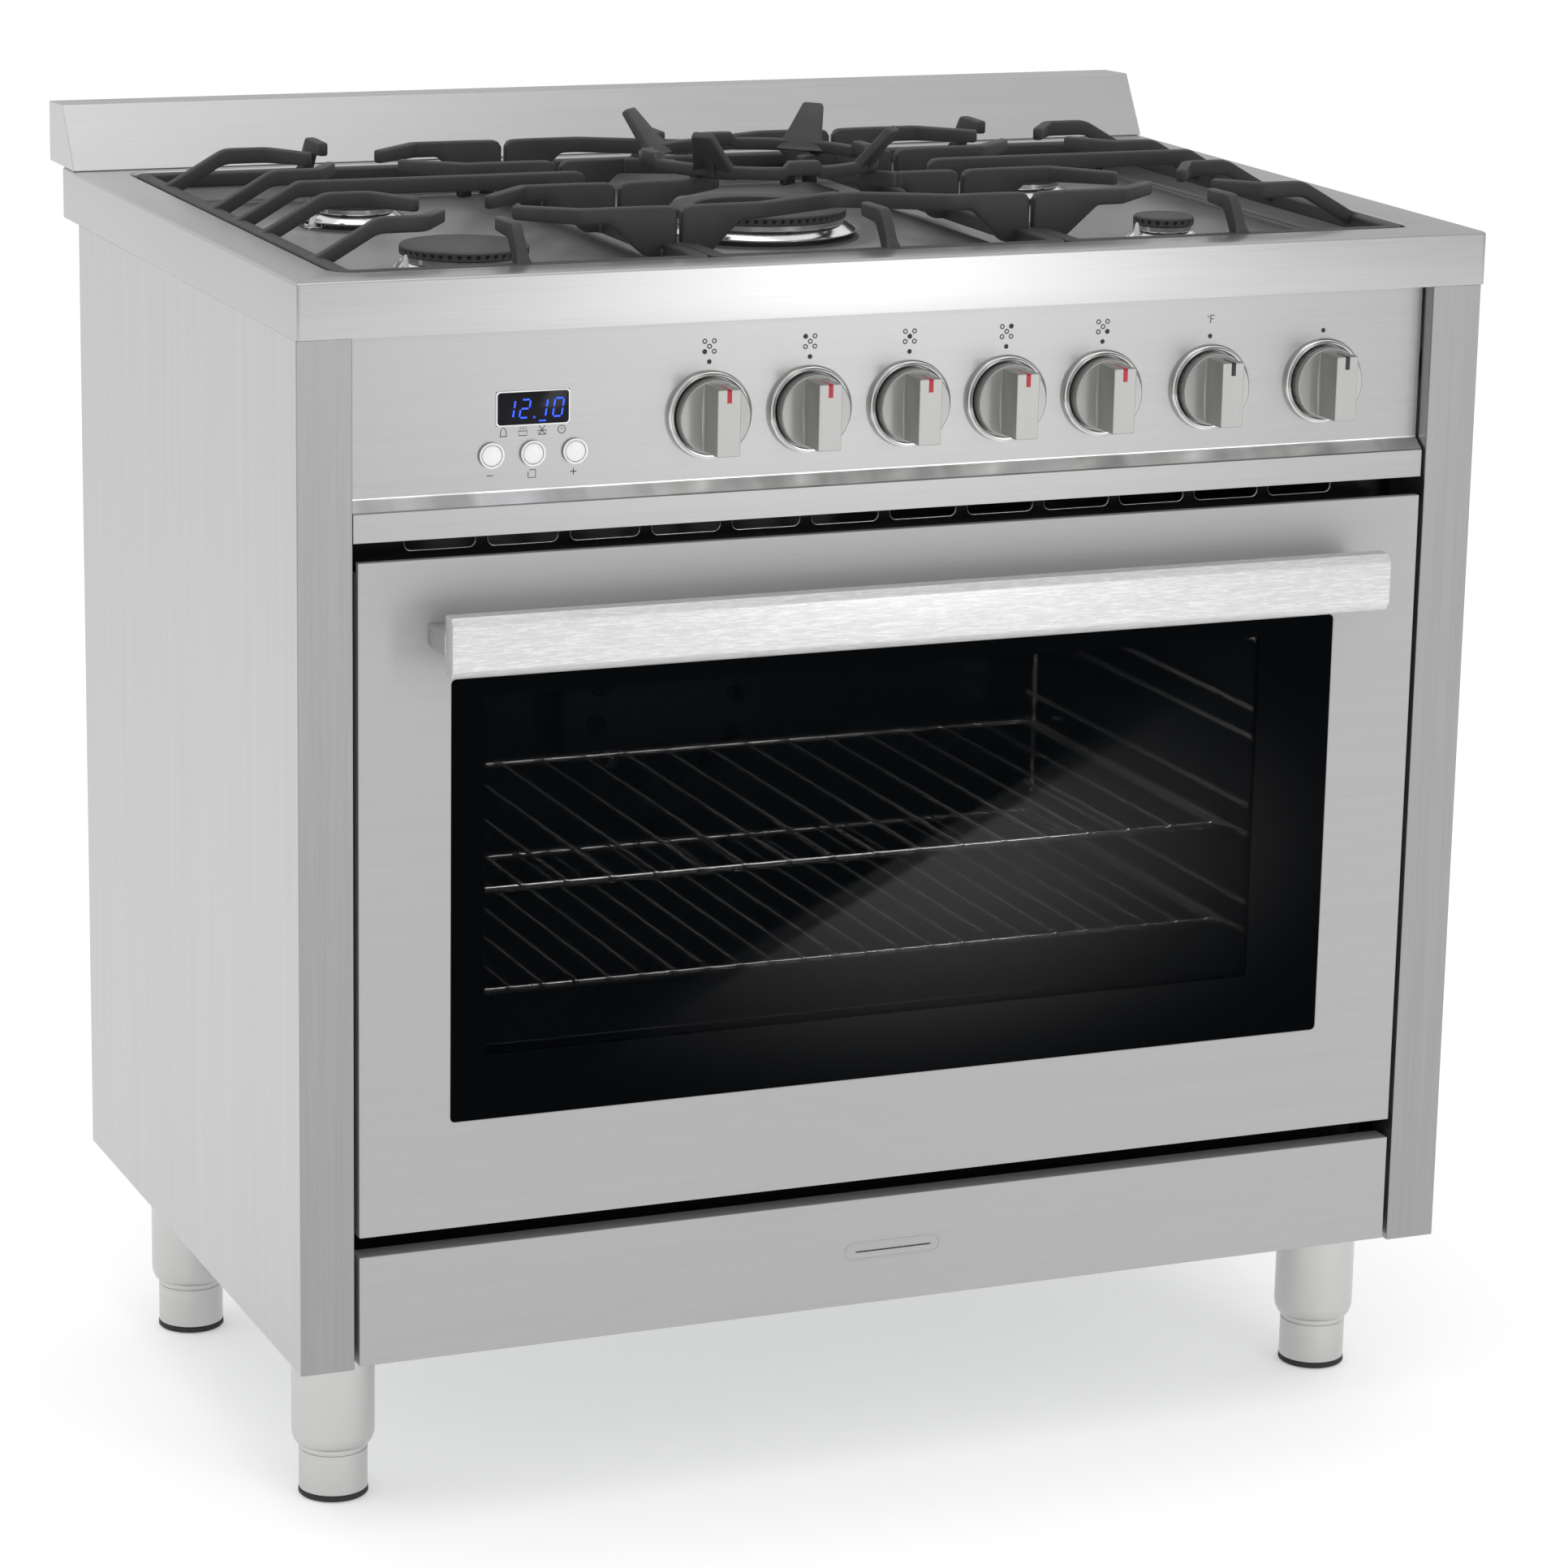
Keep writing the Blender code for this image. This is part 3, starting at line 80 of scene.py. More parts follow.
MM = 0.001
HOB_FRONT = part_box("cooktop")[0].y            # depths d below are millimetres behind this edge
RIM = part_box("cooktop")[1].z / MM             # heights are millimetres above the floor


class Signal:
    """One output socket of a material. Sums written with it add the Math nodes that they stand for."""

    def __init__(self, tree, socket=None):
        self.tree, self.socket = tree, socket

    def node(self, kind, settings=(), inputs=(), out=0):
        """Adds a node of any type: its settings first, then a value or a link for each socket."""
        made = self.tree.nodes.new("ShaderNode" + kind)
        for name, value in dict(settings).items():
            setattr(made, name, value)
        for key, value in dict(inputs).items():
            if isinstance(value, Signal):
                self.tree.links.new(value.socket, made.inputs[key])
            else:
                made.inputs[key].default_value = value
        return Signal(self.tree, made.outputs[out]) if made.outputs else None

    def maths(self, operation, *values):
        """A Math node on these values."""
        return self.node("Math", {"operation": operation}, dict(enumerate(values)))

    def __add__(self, other):
        return self.maths("ADD", self, other)

    def __sub__(self, other):
        return self.maths("SUBTRACT", self, other)

    def __rsub__(self, other):
        return self.maths("SUBTRACT", other, self)

    def __mul__(self, other):
        return self.maths("MULTIPLY", self, other)

    def __pow__(self, other):
        return self.maths("POWER", self, other)

    def __gt__(self, other):
        return self.maths("GREATER_THAN", self, other)

    def __lt__(self, other):
        return self.maths("LESS_THAN", self, other)

    def __abs__(self):
        return self.maths("ABSOLUTE", self)

    __radd__, __rmul__ = __add__, __mul__

    def step(self, low, high):
        """Rises smoothly from 0 to 1 as this signal goes from low to high."""
        return self.node("MapRange", {"interpolation_type": "SMOOTHSTEP"}, {0: self, 1: low, 2: high})

    def noise(self, stretch, detail=3.0, roughness=0.55):
        """Noise on this vector, with so many lumps to the metre along x, y and z."""
        place = self.node("Mapping", (), {"Vector": self, "Scale": stretch})
        return self.node("TexNoise", (), {"Vector": place, "Scale": 1.0, "Detail": detail,
                                          "Roughness": roughness})

    def xyz(self):
        """The three numbers of this vector."""
        return [self.node("SeparateXYZ", (), {"Vector": self}, out=axis) for axis in range(3)]

    def tint(self, colour):
        """That colour, brighter or darker by this signal."""
        return self.node("VectorMath", {"operation": "SCALE"}, {0: colour, 3: self})

    def blend(self, low, high):
        """The low colour where this signal is 0 and the high one where it is 1."""
        ends = {k: c if isinstance(c, Signal) else (*c, 1) for k, c in ((6, low), (7, high))}
        return self.node("Mix", {"data_type": "RGBA"}, {0: self, **ends}, out=2)


def begin(name):
    """A new material, and the Object coordinates that its pattern starts from."""
    material = bpy.data.materials.new(name)
    material.use_nodes = True
    material.node_tree.nodes.clear()
    return material, Signal(material.node_tree).node("TexCoord", out=3)


def surface(place, height=None, depth=0.0001, strength=0.3, **sockets):
    """Ends a material: a bump from height, and the Principled shader with the given sockets."""
    values = {name.replace("_", " "): value for name, value in sockets.items()}
    if height is not None:
        values["Normal"] = place.node("Bump", (), {"Strength": strength, "Distance": depth, "Height": height})
    shader = place.node("BsdfPrincipled", (), values)
    place.node("OutputMaterial", (), {"Surface": shader})


def brushed(name, tone, grain, roughness=0.30, streaks=0.16, length=14.0, fineness=900.0, front=1.0,
            metal=1.0, fold=None):
    """Brushed stainless steel. Noise drawn out along the grain axis makes fine and broad scratches, which
    move the tone, the roughness and a very small bump; a slow cloud keeps wide faces from looking flat.
    front darkens what lies within 5 mm of the hob's front edge, the faces that look forward: painted shade.
    fold gives the two heights of a bent strip that is made brighter there, in uneven patches along it: a
    painted highlight."""
    material, place = begin(name)
    fine = place.noise([length if axis == grain else fineness for axis in range(3)])
    broad = place.noise([length / 6 if axis == grain else fineness / 9 for axis in range(3)])
    cloud = place.noise((2.2, 2.2, 2.2), 1.0)
    level = 1 + (fine - 0.5) * streaks + (broad - 0.5) * (streaks * 0.6) + (cloud - 0.5) * 0.10
    # Painted shade: the faces that look forward, within 5 mm of the hob's front edge, are made darker by the
    # front factor.
    if front != 1.0:
        level = level * (1 - (place.xyz()[1] < HOB_FRONT + 5 * MM) * (1 - front))
    # Painted highlight: between the two heights in fold the steel is made brighter, in uneven patches.
    if fold:
        z_at = place.xyz()[2]
        highlight_patches = place.noise((16, 0.1, 0.1), 3.0).step(0.36, 0.60)
        level = level * (1 + (z_at > fold[0]) * (z_at < fold[1]) * (0.75 + highlight_patches * 1.05))
    surface(place, fine, 0.00002, 0.12, Base_Color=level.tint(tone), Metallic=metal,
            Roughness=roughness + (fine - 0.5) * 0.10 + (cloud - 0.5) * 0.05)
    return material


def skin(rings, capped=True, looped=False, closed=True):
    """Quads between neighbouring rings of points. A closed ring joins its last point to its first, a looped
    stack joins its last ring to its first, and a capped one has its two end rings filled."""
    rings = np.asarray(rings, float)
    count, size = rings.shape[:2]
    index = np.arange(count * size).reshape(count, size)
    if looped:
        index = np.concatenate([index, index[:1]])
    after = np.roll(index, -1, axis=1) if closed else index[:, 1:]
    index = index if closed else index[:, :-1]
    faces = np.stack([index[:-1], after[:-1], after[1:], index[1:]], -1).reshape(-1, 4).tolist()
    if capped and closed and not looped:
        faces += [index[0][::-1].tolist(), index[-1].tolist()]
    return rings.reshape(-1, 3), faces


def piece(name, shapes, body, material, replaces=(), crease=32.0):
    """Joins shapes given in (x, d, height) millimetres into one object: doubles merged, faces turned
    outwards, smooth except over edges sharper than crease degrees, riding on a body."""
    points = np.concatenate([p for p, _ in shapes])
    starts = np.cumsum([0] + [len(p) for p, _ in shapes])
    faces = [[i + start for i in face] for (_, some), start in zip(shapes, starts) for face in some]
    mesh = bpy.data.meshes.new(name)
    mesh.from_pydata(points * MM + (0, HOB_FRONT, 0), [], faces)
    work = bmesh.new()
    work.from_mesh(mesh)
    bmesh.ops.remove_doubles(work, verts=work.verts, dist=2e-6)
    bmesh.ops.recalc_face_normals(work, faces=work.faces)
    work.to_mesh(mesh)
    work.free()
    return settle(bpy.data.objects.new(name, mesh), body, material, replaces, crease)


def settle(thing, body, material, replaces=(), crease=32.0):
    """Gives a finished mesh its shading, material, body and the nodes that it stands for."""
    thing.data.shade_smooth()
    thing.data.set_sharp_from_angle(angle=np.radians(crease))
    thing.data.materials.clear()
    thing.data.materials.append(material)
    bpy.context.scene.collection.objects.link(thing)
    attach(thing, body)
    if replaces:
        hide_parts(*replaces)
    return thing


def softened(node, material, width=0.5, turn=30.0):
    """A copy of a sheet part with its loose triangles merged into flat faces and its folds and edges
    rounded by width millimetres, so that they catch the light as bent metal does."""
    source = frame["nodes"][node]
    mesh = source.data.copy()
    mesh.name = f"{node}_sheet"
    work = bmesh.new()
    work.from_mesh(mesh)
    bmesh.ops.remove_doubles(work, verts=work.verts, dist=2e-6)
    bmesh.ops.dissolve_limit(work, angle_limit=np.radians(0.4), verts=work.verts, edges=work.edges)
    work.to_mesh(mesh)
    work.free()
    thing = settle(bpy.data.objects.new(mesh.name, mesh), source["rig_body"], material, [node])
    edge = thing.modifiers.new("edge", "BEVEL")
    edge.width, edge.segments, edge.angle_limit = width * MM, 2, np.radians(turn)
    level = thing.modifiers.new("level", "WEIGHTED_NORMAL")
    level.keep_sharp = True
    return thing


# front=0.66 paints shade on the forward faces of the side stiles.
side_steel = brushed("side_steel", (0.490, 0.492, 0.495), 2, 0.34, 0.20, 9.0, 700.0, front=0.66)
for side in ("left", "right"):
    softened(f"side_panel_{side}", side_steel, 0.8)


# ---- Back panel and base pan -------------------------------------------------------------------------
# Plain galvanised sheets that close the casing behind and below. The back is fixed with pan-head screws
# and carries a folded cover over the supply terminals; vent slots are pressed through it.

def turned(profile, x, d, height, steps=48, axis="z", capped=True):
    """A profile of (radius, distance) carried round an axis through (x, d, height). Along z distances go
    up, along y they go forward."""
    radius, along = np.array(profile, float).T
    angle = np.arange(steps) / steps * 2 * np.pi
    a, b = radius[:, None] * np.cos(angle), radius[:, None] * np.sin(angle)
    c = along[:, None] + 0 * angle
    rings = np.stack([a, b, c] if axis == "z" else [a, -c, b], -1)
    return skin(rings + (x, d, height), capped)


def dome(radius, rise, x, d, height, axis="z", steps=12):
    """A screw or button head: half an ellipse turned about its axis, with a short upright wall."""
    bow = np.radians(np.linspace(0, 90, 5))
    profile = [(radius, -0.3)] + list(zip(radius * np.cos(bow), rise * np.sin(bow)))
    return turned(profile, x, d, height, steps, axis)


def corners(width, height, edge, steps=4):
    """Rounded rectangles, one for each width and height: four quarter circles of radius edge."""
    turn = np.radians(np.linspace(0, 90, steps) + np.array([[0], [90], [180], [270]]))
    across, up = np.array([[1], [-1], [-1], [1]]), np.array([[1], [1], [-1], [-1]])
    w, h = (np.reshape(size, (-1, 1, 1)) / 2 for size in np.broadcast_arrays(width, height))
    r = np.minimum(np.reshape(edge, (-1, 1, 1)), np.minimum(w, h) * 0.98)
    return np.stack([across * (w - r) + r * np.cos(turn), up * (h - r) + r * np.sin(turn)], -1
                    ).reshape(w.shape[0], -1, 2)


def slab(low, high, edge=1.0, axis=2, radius=0.0):
    """A box from its low to its high corner with every edge rounded: rounded rectangles stacked along
    one axis, drawn in by a quarter circle at both ends. radius rounds the corners of its outline more."""
    low, high = np.array(low, float), np.array(high, float)
    u, v = [a for a in range(3) if a != axis]
    bow = np.radians(np.linspace(0, 90, 4))
    draw, rise = edge * (1 - np.sin(bow)), edge * (1 - np.cos(bow))
    inset = np.concatenate([draw, draw[::-1]])
    along = np.concatenate([low[axis] + rise, high[axis] - rise[::-1]])
    size = high - low
    ring = corners(size[u] - 2 * inset, size[v] - 2 * inset, np.maximum(max(edge, radius) - inset, 0.05))
    points = np.zeros(ring.shape[:2] + (3,))
    points[..., u], points[..., v] = ring[..., 0] + (low + high)[u] / 2, ring[..., 1] + (low + high)[v] / 2
    points[..., axis] = along[:, None]
    return skin(points)


def grained(name, colour, scale, tone, roughness, depth=0.00002, strength=0.15, **sockets):
    """A plain finish. One noise, with scale lumps to the metre, moves the colour and the roughness, each
    given as its least value and how far it goes up, and a bump of that depth and strength."""
    material, place = begin(name)
    fine = place.noise([*(np.ones(3) * scale)])
    surface(place, fine, depth, strength, Base_Color=(tone[0] + fine * tone[1]).tint(colour),
            Roughness=roughness[0] + fine * roughness[1], **sockets)
    return material


galvanised, place = begin("galvanised")
flakes = place.node("TexVoronoi", (), {"Vector": place, "Scale": 95.0}, out=1)
flake = flakes.node("SeparateColor", (), {"Color": flakes})
dust = place.noise((9, 9, 9))
surface(place, flake, 0.00005, 0.15, Metallic=1.0, Roughness=0.40 + flake * 0.14,
        Base_Color=(0.85 + flake * 0.25 + (dust - 0.5) * 0.2).tint((0.50, 0.51, 0.52)))
softened("back_panel", galvanised, 0.3)
softened("base_pan", galvanised, 0.4)

zinc = grained("zinc_screw", (0.55, 0.56, 0.58), 700, (0.8, 0.4), (0.24, 0.2), 0.00003, 0.3, Metallic=1.0)
REAR = (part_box("back_panel")[1].y - HOB_FRONT) / MM


def screw(radius, rise, x, height, proud=0.0):
    """A pan-head screw in the back panel: a dome that faces backwards."""
    points, faces = dome(radius, rise, x, REAR - proud, height, "y")
    return points * (1, -1, 1) + (0, 2 * REAR, 0), faces


heads = [screw(4.2, 2.4, x, z) for x in (-438, -219, 0, 219, 438) for z in (136, 845)]
heads += [screw(4.2, 2.4, x, z) for x in (-438, 438) for z in (310, 490, 660)]
piece("back_screws", heads, "casing", zinc)
cover = [slab((-400, REAR - 0.5, 560), (-270, REAR + 26, 650), 2.0, 1, 4.0),
         slab((-408, REAR - 0.5, 548), (-262, REAR + 1.2, 662), 0.5, 1, 3.0)]
cover += [screw(3.4, 2.0, x, z, 1.2) for x in (-402, -268) for z in (554, 656)]
piece("terminal_cover", cover, "casing", galvanised)
ribs = [slab((x - 9, REAR - 0.6, 180), (x + 9, REAR + 2.2, 520), 1.6, 1, 8.0) for x in (-150, 0, 150)]
piece("back_ribs", ribs, "casing", galvanised)


# ---- Legs and feet -----------------------------------------------------------------------------------
# Each leg is a 60 mm satin steel tube with a rolled lower shoulder. Inside it stands a threaded 50 mm foot
# with a black rubber pad, which turns out to level the range.

satin, place = begin("leg_steel")
rings = place.noise((40, 40, 1100))
cloud = place.noise((14, 14, 5), 2.0)
surface(place, rings, 0.00002, 0.15, Metallic=1.0, Roughness=0.33 + (rings - 0.5) * 0.1,
        Base_Color=(1 + (rings - 0.5) * 0.12 + (cloud - 0.5) * 0.16).tint((0.56, 0.56, 0.55)))
rubber = grained("foot_rubber", (0.018, 0.018, 0.019), 600, (0.6, 0.8), (0.62, 0.2), 0.0001, 0.4)
for stand in ("front_left", "front_right", "back_left", "back_right"):
    low, high = (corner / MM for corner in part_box(f"leg_{stand}"))
    x, d = (low.x + high.x) / 2, (low.y + high.y) / 2 - HOB_FRONT / MM
    r, z0, z1 = (high.x - low.x) / 2, low.z, high.z
    tube = [(26.2, z1), (r - 1, z1), (r, z1 - 1), (r, z0 + 9.5), (r - 0.5, z0 + 6.0), (r - 1.6, z0 + 3.0),
            (r - 3.0, z0 + 0.9), (r - 4.0, z0 + 0.1), (r - 4.6, z0 + 0.6), (26.2, z0 + 2.0), (26.2, z1)]
    piece(f"leg_{stand}_tube", [turned(tube, x, d, 0, 72, capped=False)], "casing", satin,
          [f"leg_{stand}"])
    low, high = (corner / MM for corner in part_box(f"foot_{stand}"))
    r, z1 = (high.x - low.x) / 2, high.z
    sleeve = [(0, z1), (r - 1.5, z1), (r - 0.4, z1 - 1), (r - 0.4, 36.5), (r - 1.0, 36.1), (r - 1.0, 35.3),
              (r - 0.4, 34.9), (r - 0.4, 5.2), (r - 1.4, 4.4), (0, 4.4)]
    piece(f"foot_{stand}_sleeve", [turned(sleeve, x, d, 0, 72)], f"foot_{stand}_body", satin,
          [f"foot_{stand}"])
    pad = [(0, 5.0), (r - 0.8, 5.0), (r - 0.1, 4.3), (r, 1.2), (r - 0.9, 0.3), (r - 2, 0), (0, 0)]
    piece(f"foot_{stand}_pad", [turned(pad, x, d, 0, 72)], f"foot_{stand}_body", rubber)


# ---- Hob top -----------------------------------------------------------------------------------------
# One pressed stainless sheet: a 38 mm apron folded down all round, a flat rim, and a recess that catches
# spills. Its floor has folds front to back between the grates and a shallow dish under each burner.

RECESS = (-411.5, 411.5, 37.5, 557.5)
MIDDLE, SIDEWAYS = 297, 274                   # the hob's middle depth, and the outer burners' distance
BURNERS = {"front_left": (-SIDEWAYS, 171, 46, 50), "back_left": (-SIDEWAYS, 423, 32, 39),
           "centre": (0, MIDDLE, 66, 73), "back_right": (SIDEWAYS, 423, 32, 39),
           "front_right": (SIDEWAYS, 171, 22.5, 28)}    # x, depth, radius of the cap and of the skirt
GRATE_FOLD = 135.0
PAN_FLOOR = RIM - 27.0


def loop(edges, grow, radius, height):
    """A level rounded rectangle (x0, x1, d0, d1), grown outwards by so much."""
    x0, x1, d0, d1 = edges
    ring = corners(x1 - x0 + 2 * grow, d1 - d0 + 2 * grow, radius, 10)[0]
    return np.c_[ring + ((x0 + x1) / 2, (d0 + d1) / 2), np.full(len(ring), height)]


def pan_height(x, d):
    """Height of the recess floor above its lowest level. Each fold is a tent whose foot is widest between
    the burners; each dish is a low rim, a smooth hump of radius."""
    fold_foot = 15 + 22 * np.exp(-((d - MIDDLE) / 62.0) ** 2)
    rise = sum(6.5 * np.clip(1 - np.abs(x - s * GRATE_FOLD) / fold_foot, 0, 1) for s in (-1, 1))
    rise = rise * np.clip(np.minimum(d - 40, 555 - d) / 45.0, 0, 1) ** 0.7
    for bx, bd, _, body in BURNERS.values():
        away = np.hypot(x - bx, d - bd)
        rim = 1.5 * np.exp(-((away - body - 19) / 6.0) ** 2)
        rise = rise * np.clip((away - body - 10) / 26.0, 0, 1) + rim
    return rise


hob_steel, place = begin("hob_steel")
x_at, y_at, z_at = place.xyz()
within = (abs(x_at) < 0.4125) * (y_at > HOB_FRONT + 36.5 * MM)
fine = place.noise((14, 900, 900))
cloud = place.noise((3, 3, 3), 1.0)
# Painted shade: below the rim, inside the recess, the same sheet is made darker and less metallic, and a little
# rougher.
sunk_shade = z_at.step((RIM - 2) * MM, (RIM - 18) * MM) * within
level = 1 + (fine - 0.5) * 0.16 + (cloud - 0.5) * 0.10
surface(place, fine, 0.00002, 0.12, Metallic=1 - sunk_shade * 0.5, Roughness=0.30 + (fine - 0.5) * 0.1 + sunk_shade * 0.08,
        Base_Color=sunk_shade.blend(level.tint((0.465, 0.465, 0.465)), level.tint((0.315, 0.315, 0.32))))
apron = [(-1.5, 1.6, 854.8), (0, 3.0, 854.6), (0, 3.0, RIM - 2.2), (-0.35, 3.0, RIM - 0.9),
         (-1.2, 3.0, RIM - 0.2), (-2.4, 3.0, RIM)]
wall = [(2.6, 20.6, RIM), (1.2, 19.2, RIM - 0.35), (0.3, 18.3, RIM - 1.2), (0, 18, RIM - 2.6),
        (-0.6, 17.4, PAN_FLOOR + 4), (-1.6, 16.4, PAN_FLOOR + 1.5), (-4, 14, PAN_FLOOR + 0.2),
        (-7, 12, PAN_FLOOR)]
sheet = [loop((-450, 450, 0, 600), *ring) for ring in apron] + [loop(RECESS, *ring) for ring in wall]
u = np.unique(np.concatenate([np.linspace(-406, 406, 141), (-GRATE_FOLD, GRATE_FOLD)]))
v = np.linspace(43, 552, 101)
off = np.clip(16 - np.minimum(v - 43, 552 - v), 0, 16)
reach = 1 - (16 - np.sqrt(256 - off ** 2)) / 406
across, back_to = np.meshgrid(u, v)
across = across * reach[:, None]
floor = np.stack([across, back_to, PAN_FLOOR + 0.05 + pan_height(across, back_to)], -1)
piece("hob_top", [skin(sheet, capped=False), skin(floor, closed=False)], "casing", hob_steel,
      ["cooktop"], 40)


# ---- Backguard ---------------------------------------------------------------------------------------
# A folded stainless upstand behind the hob, leaning back so that spills run forward; open below at the
# rear, where the flue air leaves. Screwed down to the hob's rear edge.

front_steel = brushed("front_steel", (0.415, 0.415, 0.413), 0, 0.46, 0.13, metal=0.5)
back_steel = brushed("backguard_steel", (0.53, 0.53, 0.53), 0, 0.33, 0.13)
softened("backguard", back_steel, 0.7)


# ---- Burners, caps and igniters ----------------------------------------------------------------------
# Five cast-aluminium burners stand on the recess floor: a polished, stepped skirt with a loose black
# enamelled iron cap, its flame ports round the side. Each has a white ceramic igniter and a steel probe.

chrome, place = begin("burner_aluminium")
cast = place.noise((500, 500, 500))
drift = place.noise((30, 30, 8))
surface(place, cast, 0.00002, 0.12, Metallic=1.0, Roughness=0.11 + drift * 0.10,
        Base_Color=(0.92 + (drift - 0.5) * 0.3).tint((0.80, 0.80, 0.81)))
enamel_black, place = begin("cap_enamel")
grain = place.noise((900, 900, 900))
# Random patches of the cap enamel are made lighter, as wear.
wear_and_edge_glint = place.noise((40, 40, 40)).step(0.55, 0.8)
surface(place, grain, 0.00005, 0.35, Base_Color=(0.75 + grain * 0.35 + wear_and_edge_glint * 0.25).tint((0.052, 0.052, 0.054)),
        Roughness=0.46 + grain * 0.18)
ceramic = grained("igniter_ceramic", (0.86, 0.85, 0.82), (300, 300, 120), (0.9, 0.15), (0.28, 0.1), 0.00004,
                  0.2)


def ported(x, d, radius, low, high, ports, depth=2.4):
    """The upright wall of a cap: a cylinder whose radius dips by depth inside each of the round ports,
    set evenly round it at mid height."""
    angle = np.arange(ports * 10) / (ports * 10) * 2 * np.pi
    height = np.linspace(low, high, 11)
    a, z = np.meshgrid(angle, height)
    along = (a * ports / (2 * np.pi) % 1 - 0.5) * 2 * np.pi * radius / ports
    away = np.hypot(along, z - (low + high) / 2) / ((high - low) * 0.23)
    dip = depth * np.clip((1.25 - away) / 0.4, 0, 1)
    dip[[0, -1]] = 0
    return skin(np.stack([x + (radius - dip) * np.cos(a), d + (radius - dip) * np.sin(a), z], -1), capped=False)


floor_z, cap_z = PAN_FLOOR + 0.3, RIM - 4.5
for burner, (x, d, cap, body) in BURNERS.items():
    top, low = cap_z, cap_z - 6.5
    middle_one = burner == "centre"
    if middle_one:
        crown = [(48, low + 0.2), (48, top - 0.9), (49, top), (cap - 1.6, top - 0.2), (cap - 0.6, top - 0.7),
                 (cap - 0.2, top - 1.4)]
        lid = [turned(crown, x, d, 0, 96, capped=False),
               turned([(cap - 0.2, low), (48, low)], x, d, 0, 96, capped=False)]
    else:
        crown = [(0, top + 0.5), (cap * 0.6, top + 0.35), (cap - 2.2, top), (cap - 1.0, top - 0.3),
                 (cap - 0.2, top - 1.2)]
        lid = [turned(crown, x, d, 0, 96, capped=False),
               turned([(cap - 0.2, low), (0, low)], x, d, 0, 96, capped=False)]
    lid.append(ported(x, d, cap - 0.2, low, top - 1.2, int(2 * np.pi * cap / 6.6)))
    piece(f"cap_{burner}_iron", lid, "casing", enamel_black, [f"cap_{burner}"], 38)
    neck, hip, inside = cap - 2.2, low - 4.6, 16.0 if middle_one else 6.0
    skirt = [(cap - inside, low - 0.3), (neck, low - 0.3), (neck + 0.4, low - 0.8), (neck + 0.4, hip + 0.4),
             (neck + 1.2, hip), (body - 0.6, floor_z + 6.4), (body, floor_z + 5.8), (body, floor_z + 5.0),
             (body - 1.2, floor_z + 4.6), (body - 7, floor_z + 4.2), (body - 8, floor_z),
             (cap - inside, floor_z)]
    shapes = [turned(skirt + skirt[:1], x, d, 0, 96, capped=False)]
    if middle_one:
        core = [(0, cap_z - 1), (18, cap_z - 1.2), (19.6, cap_z - 2.6), (20, floor_z), (0, floor_z)]
        shapes.append(turned(core, x, d, 0, 48))
        shapes += [slab((x + a * 20 - 2, d - 2, floor_z), (x + a * 50 + 2, d + 2, cap_z - 7), 0.8)
                   for a in (-1, 1)]
    piece(f"burner_{burner}_skirt", shapes, "casing", chrome, [f"burner_{burner}"], 24)
    if middle_one:
        inner = [(0, cap_z + 0.2), (14, cap_z), (17, cap_z - 0.5), (17.6, cap_z - 1.2), (0, cap_z - 1.2)]
        piece("cap_centre_inner", [turned(inner, x, d, 0, 48)], "casing", enamel_black)
    well = [(body + 3.2, floor_z - 0.6), (body + 2.0, floor_z + 1.2), (body - 0.5, floor_z + 1.4),
            (body - 9, floor_z + 0.3)]
    piece(f"burner_{burner}_seat", [turned(well, x, d, 0, 72, capped=False)], "casing", enamel_black)
    ix, idp = x - (cap + 6.0) * 0.94, d - (cap + 6.0) * 0.34
    pin = [(0, 18.6), (0.9, 18.4), (1.3, 17.0), (1.9, 14.5), (2.5, 5.5), (3.2, 4.4), (3.2, 0), (0, 0)]
    piece(f"igniter_{burner}", [turned(pin, ix, idp, floor_z, 20)], "casing", ceramic)
    clip = [slab((ix - 6.5, idp - 2.6, floor_z - 0.2), (ix + 7.5, idp + 2.6, floor_z + 1.8), 0.5),
            slab((ix - 6.5, idp - 2.6, floor_z), (ix - 4.2, idp + 2.6, floor_z + 4.0), 0.5)]
    stalk = [(0, 20), (1.0, 19.4), (1.5, 18), (1.5, 5), (2.6, 4.5), (2.6, 0), (0, 0)]
    clip.append(turned(stalk, x - (cap + 5.0) * 0.42, d + (cap + 5.0) * 0.9, floor_z, 16))
    piece(f"probe_{burner}", clip, "casing", chrome)


# ---- Pan supports ------------------------------------------------------------------------------------
# Three cast-iron grates in matt black enamel: a flat rounded frame with fingers that rise from the outer
# bars and upright plates that rise from the inner ones, turned in towards each burner at pot height.

def unit(vectors):
    """The same vectors, each with a length of 1."""
    return vectors / np.linalg.norm(vectors, axis=-1, keepdims=True)


def headings(path):
    """The direction at each point of a path: along its leg at the ends, half-way between two at a bend."""
    legs = unit(np.diff(path, axis=0) + 1e-9)       # a leg of no length, where two curves meet, has one too
    return unit(np.concatenate([legs[:1], legs[:-1] + legs[1:], legs[-1:]]))


def eased(points, cut=5.0, steps=5):
    """A path with each corner replaced by a curve: a parabola that leaves one leg and meets the next cut
    millimetres from the corner, or half-way along a shorter leg."""
    p = np.array(points, float)
    legs = np.diff(p, axis=0)
    long = np.linalg.norm(legs, axis=1, keepdims=True)
    pull = legs * np.minimum(cut / long, 0.5)
    t = np.linspace(0, 1, steps)[None, :, None]
    start, middle, end = (a[:, None] for a in (p[1:-1] - pull[:-1], p[1:-1], p[1:-1] + pull[1:]))
    curve = (1 - t) ** 2 * start + 2 * t * (1 - t) * middle + t ** 2 * end
    return np.concatenate([p[:1], curve.reshape(-1, p.shape[1]), p[-1:]])


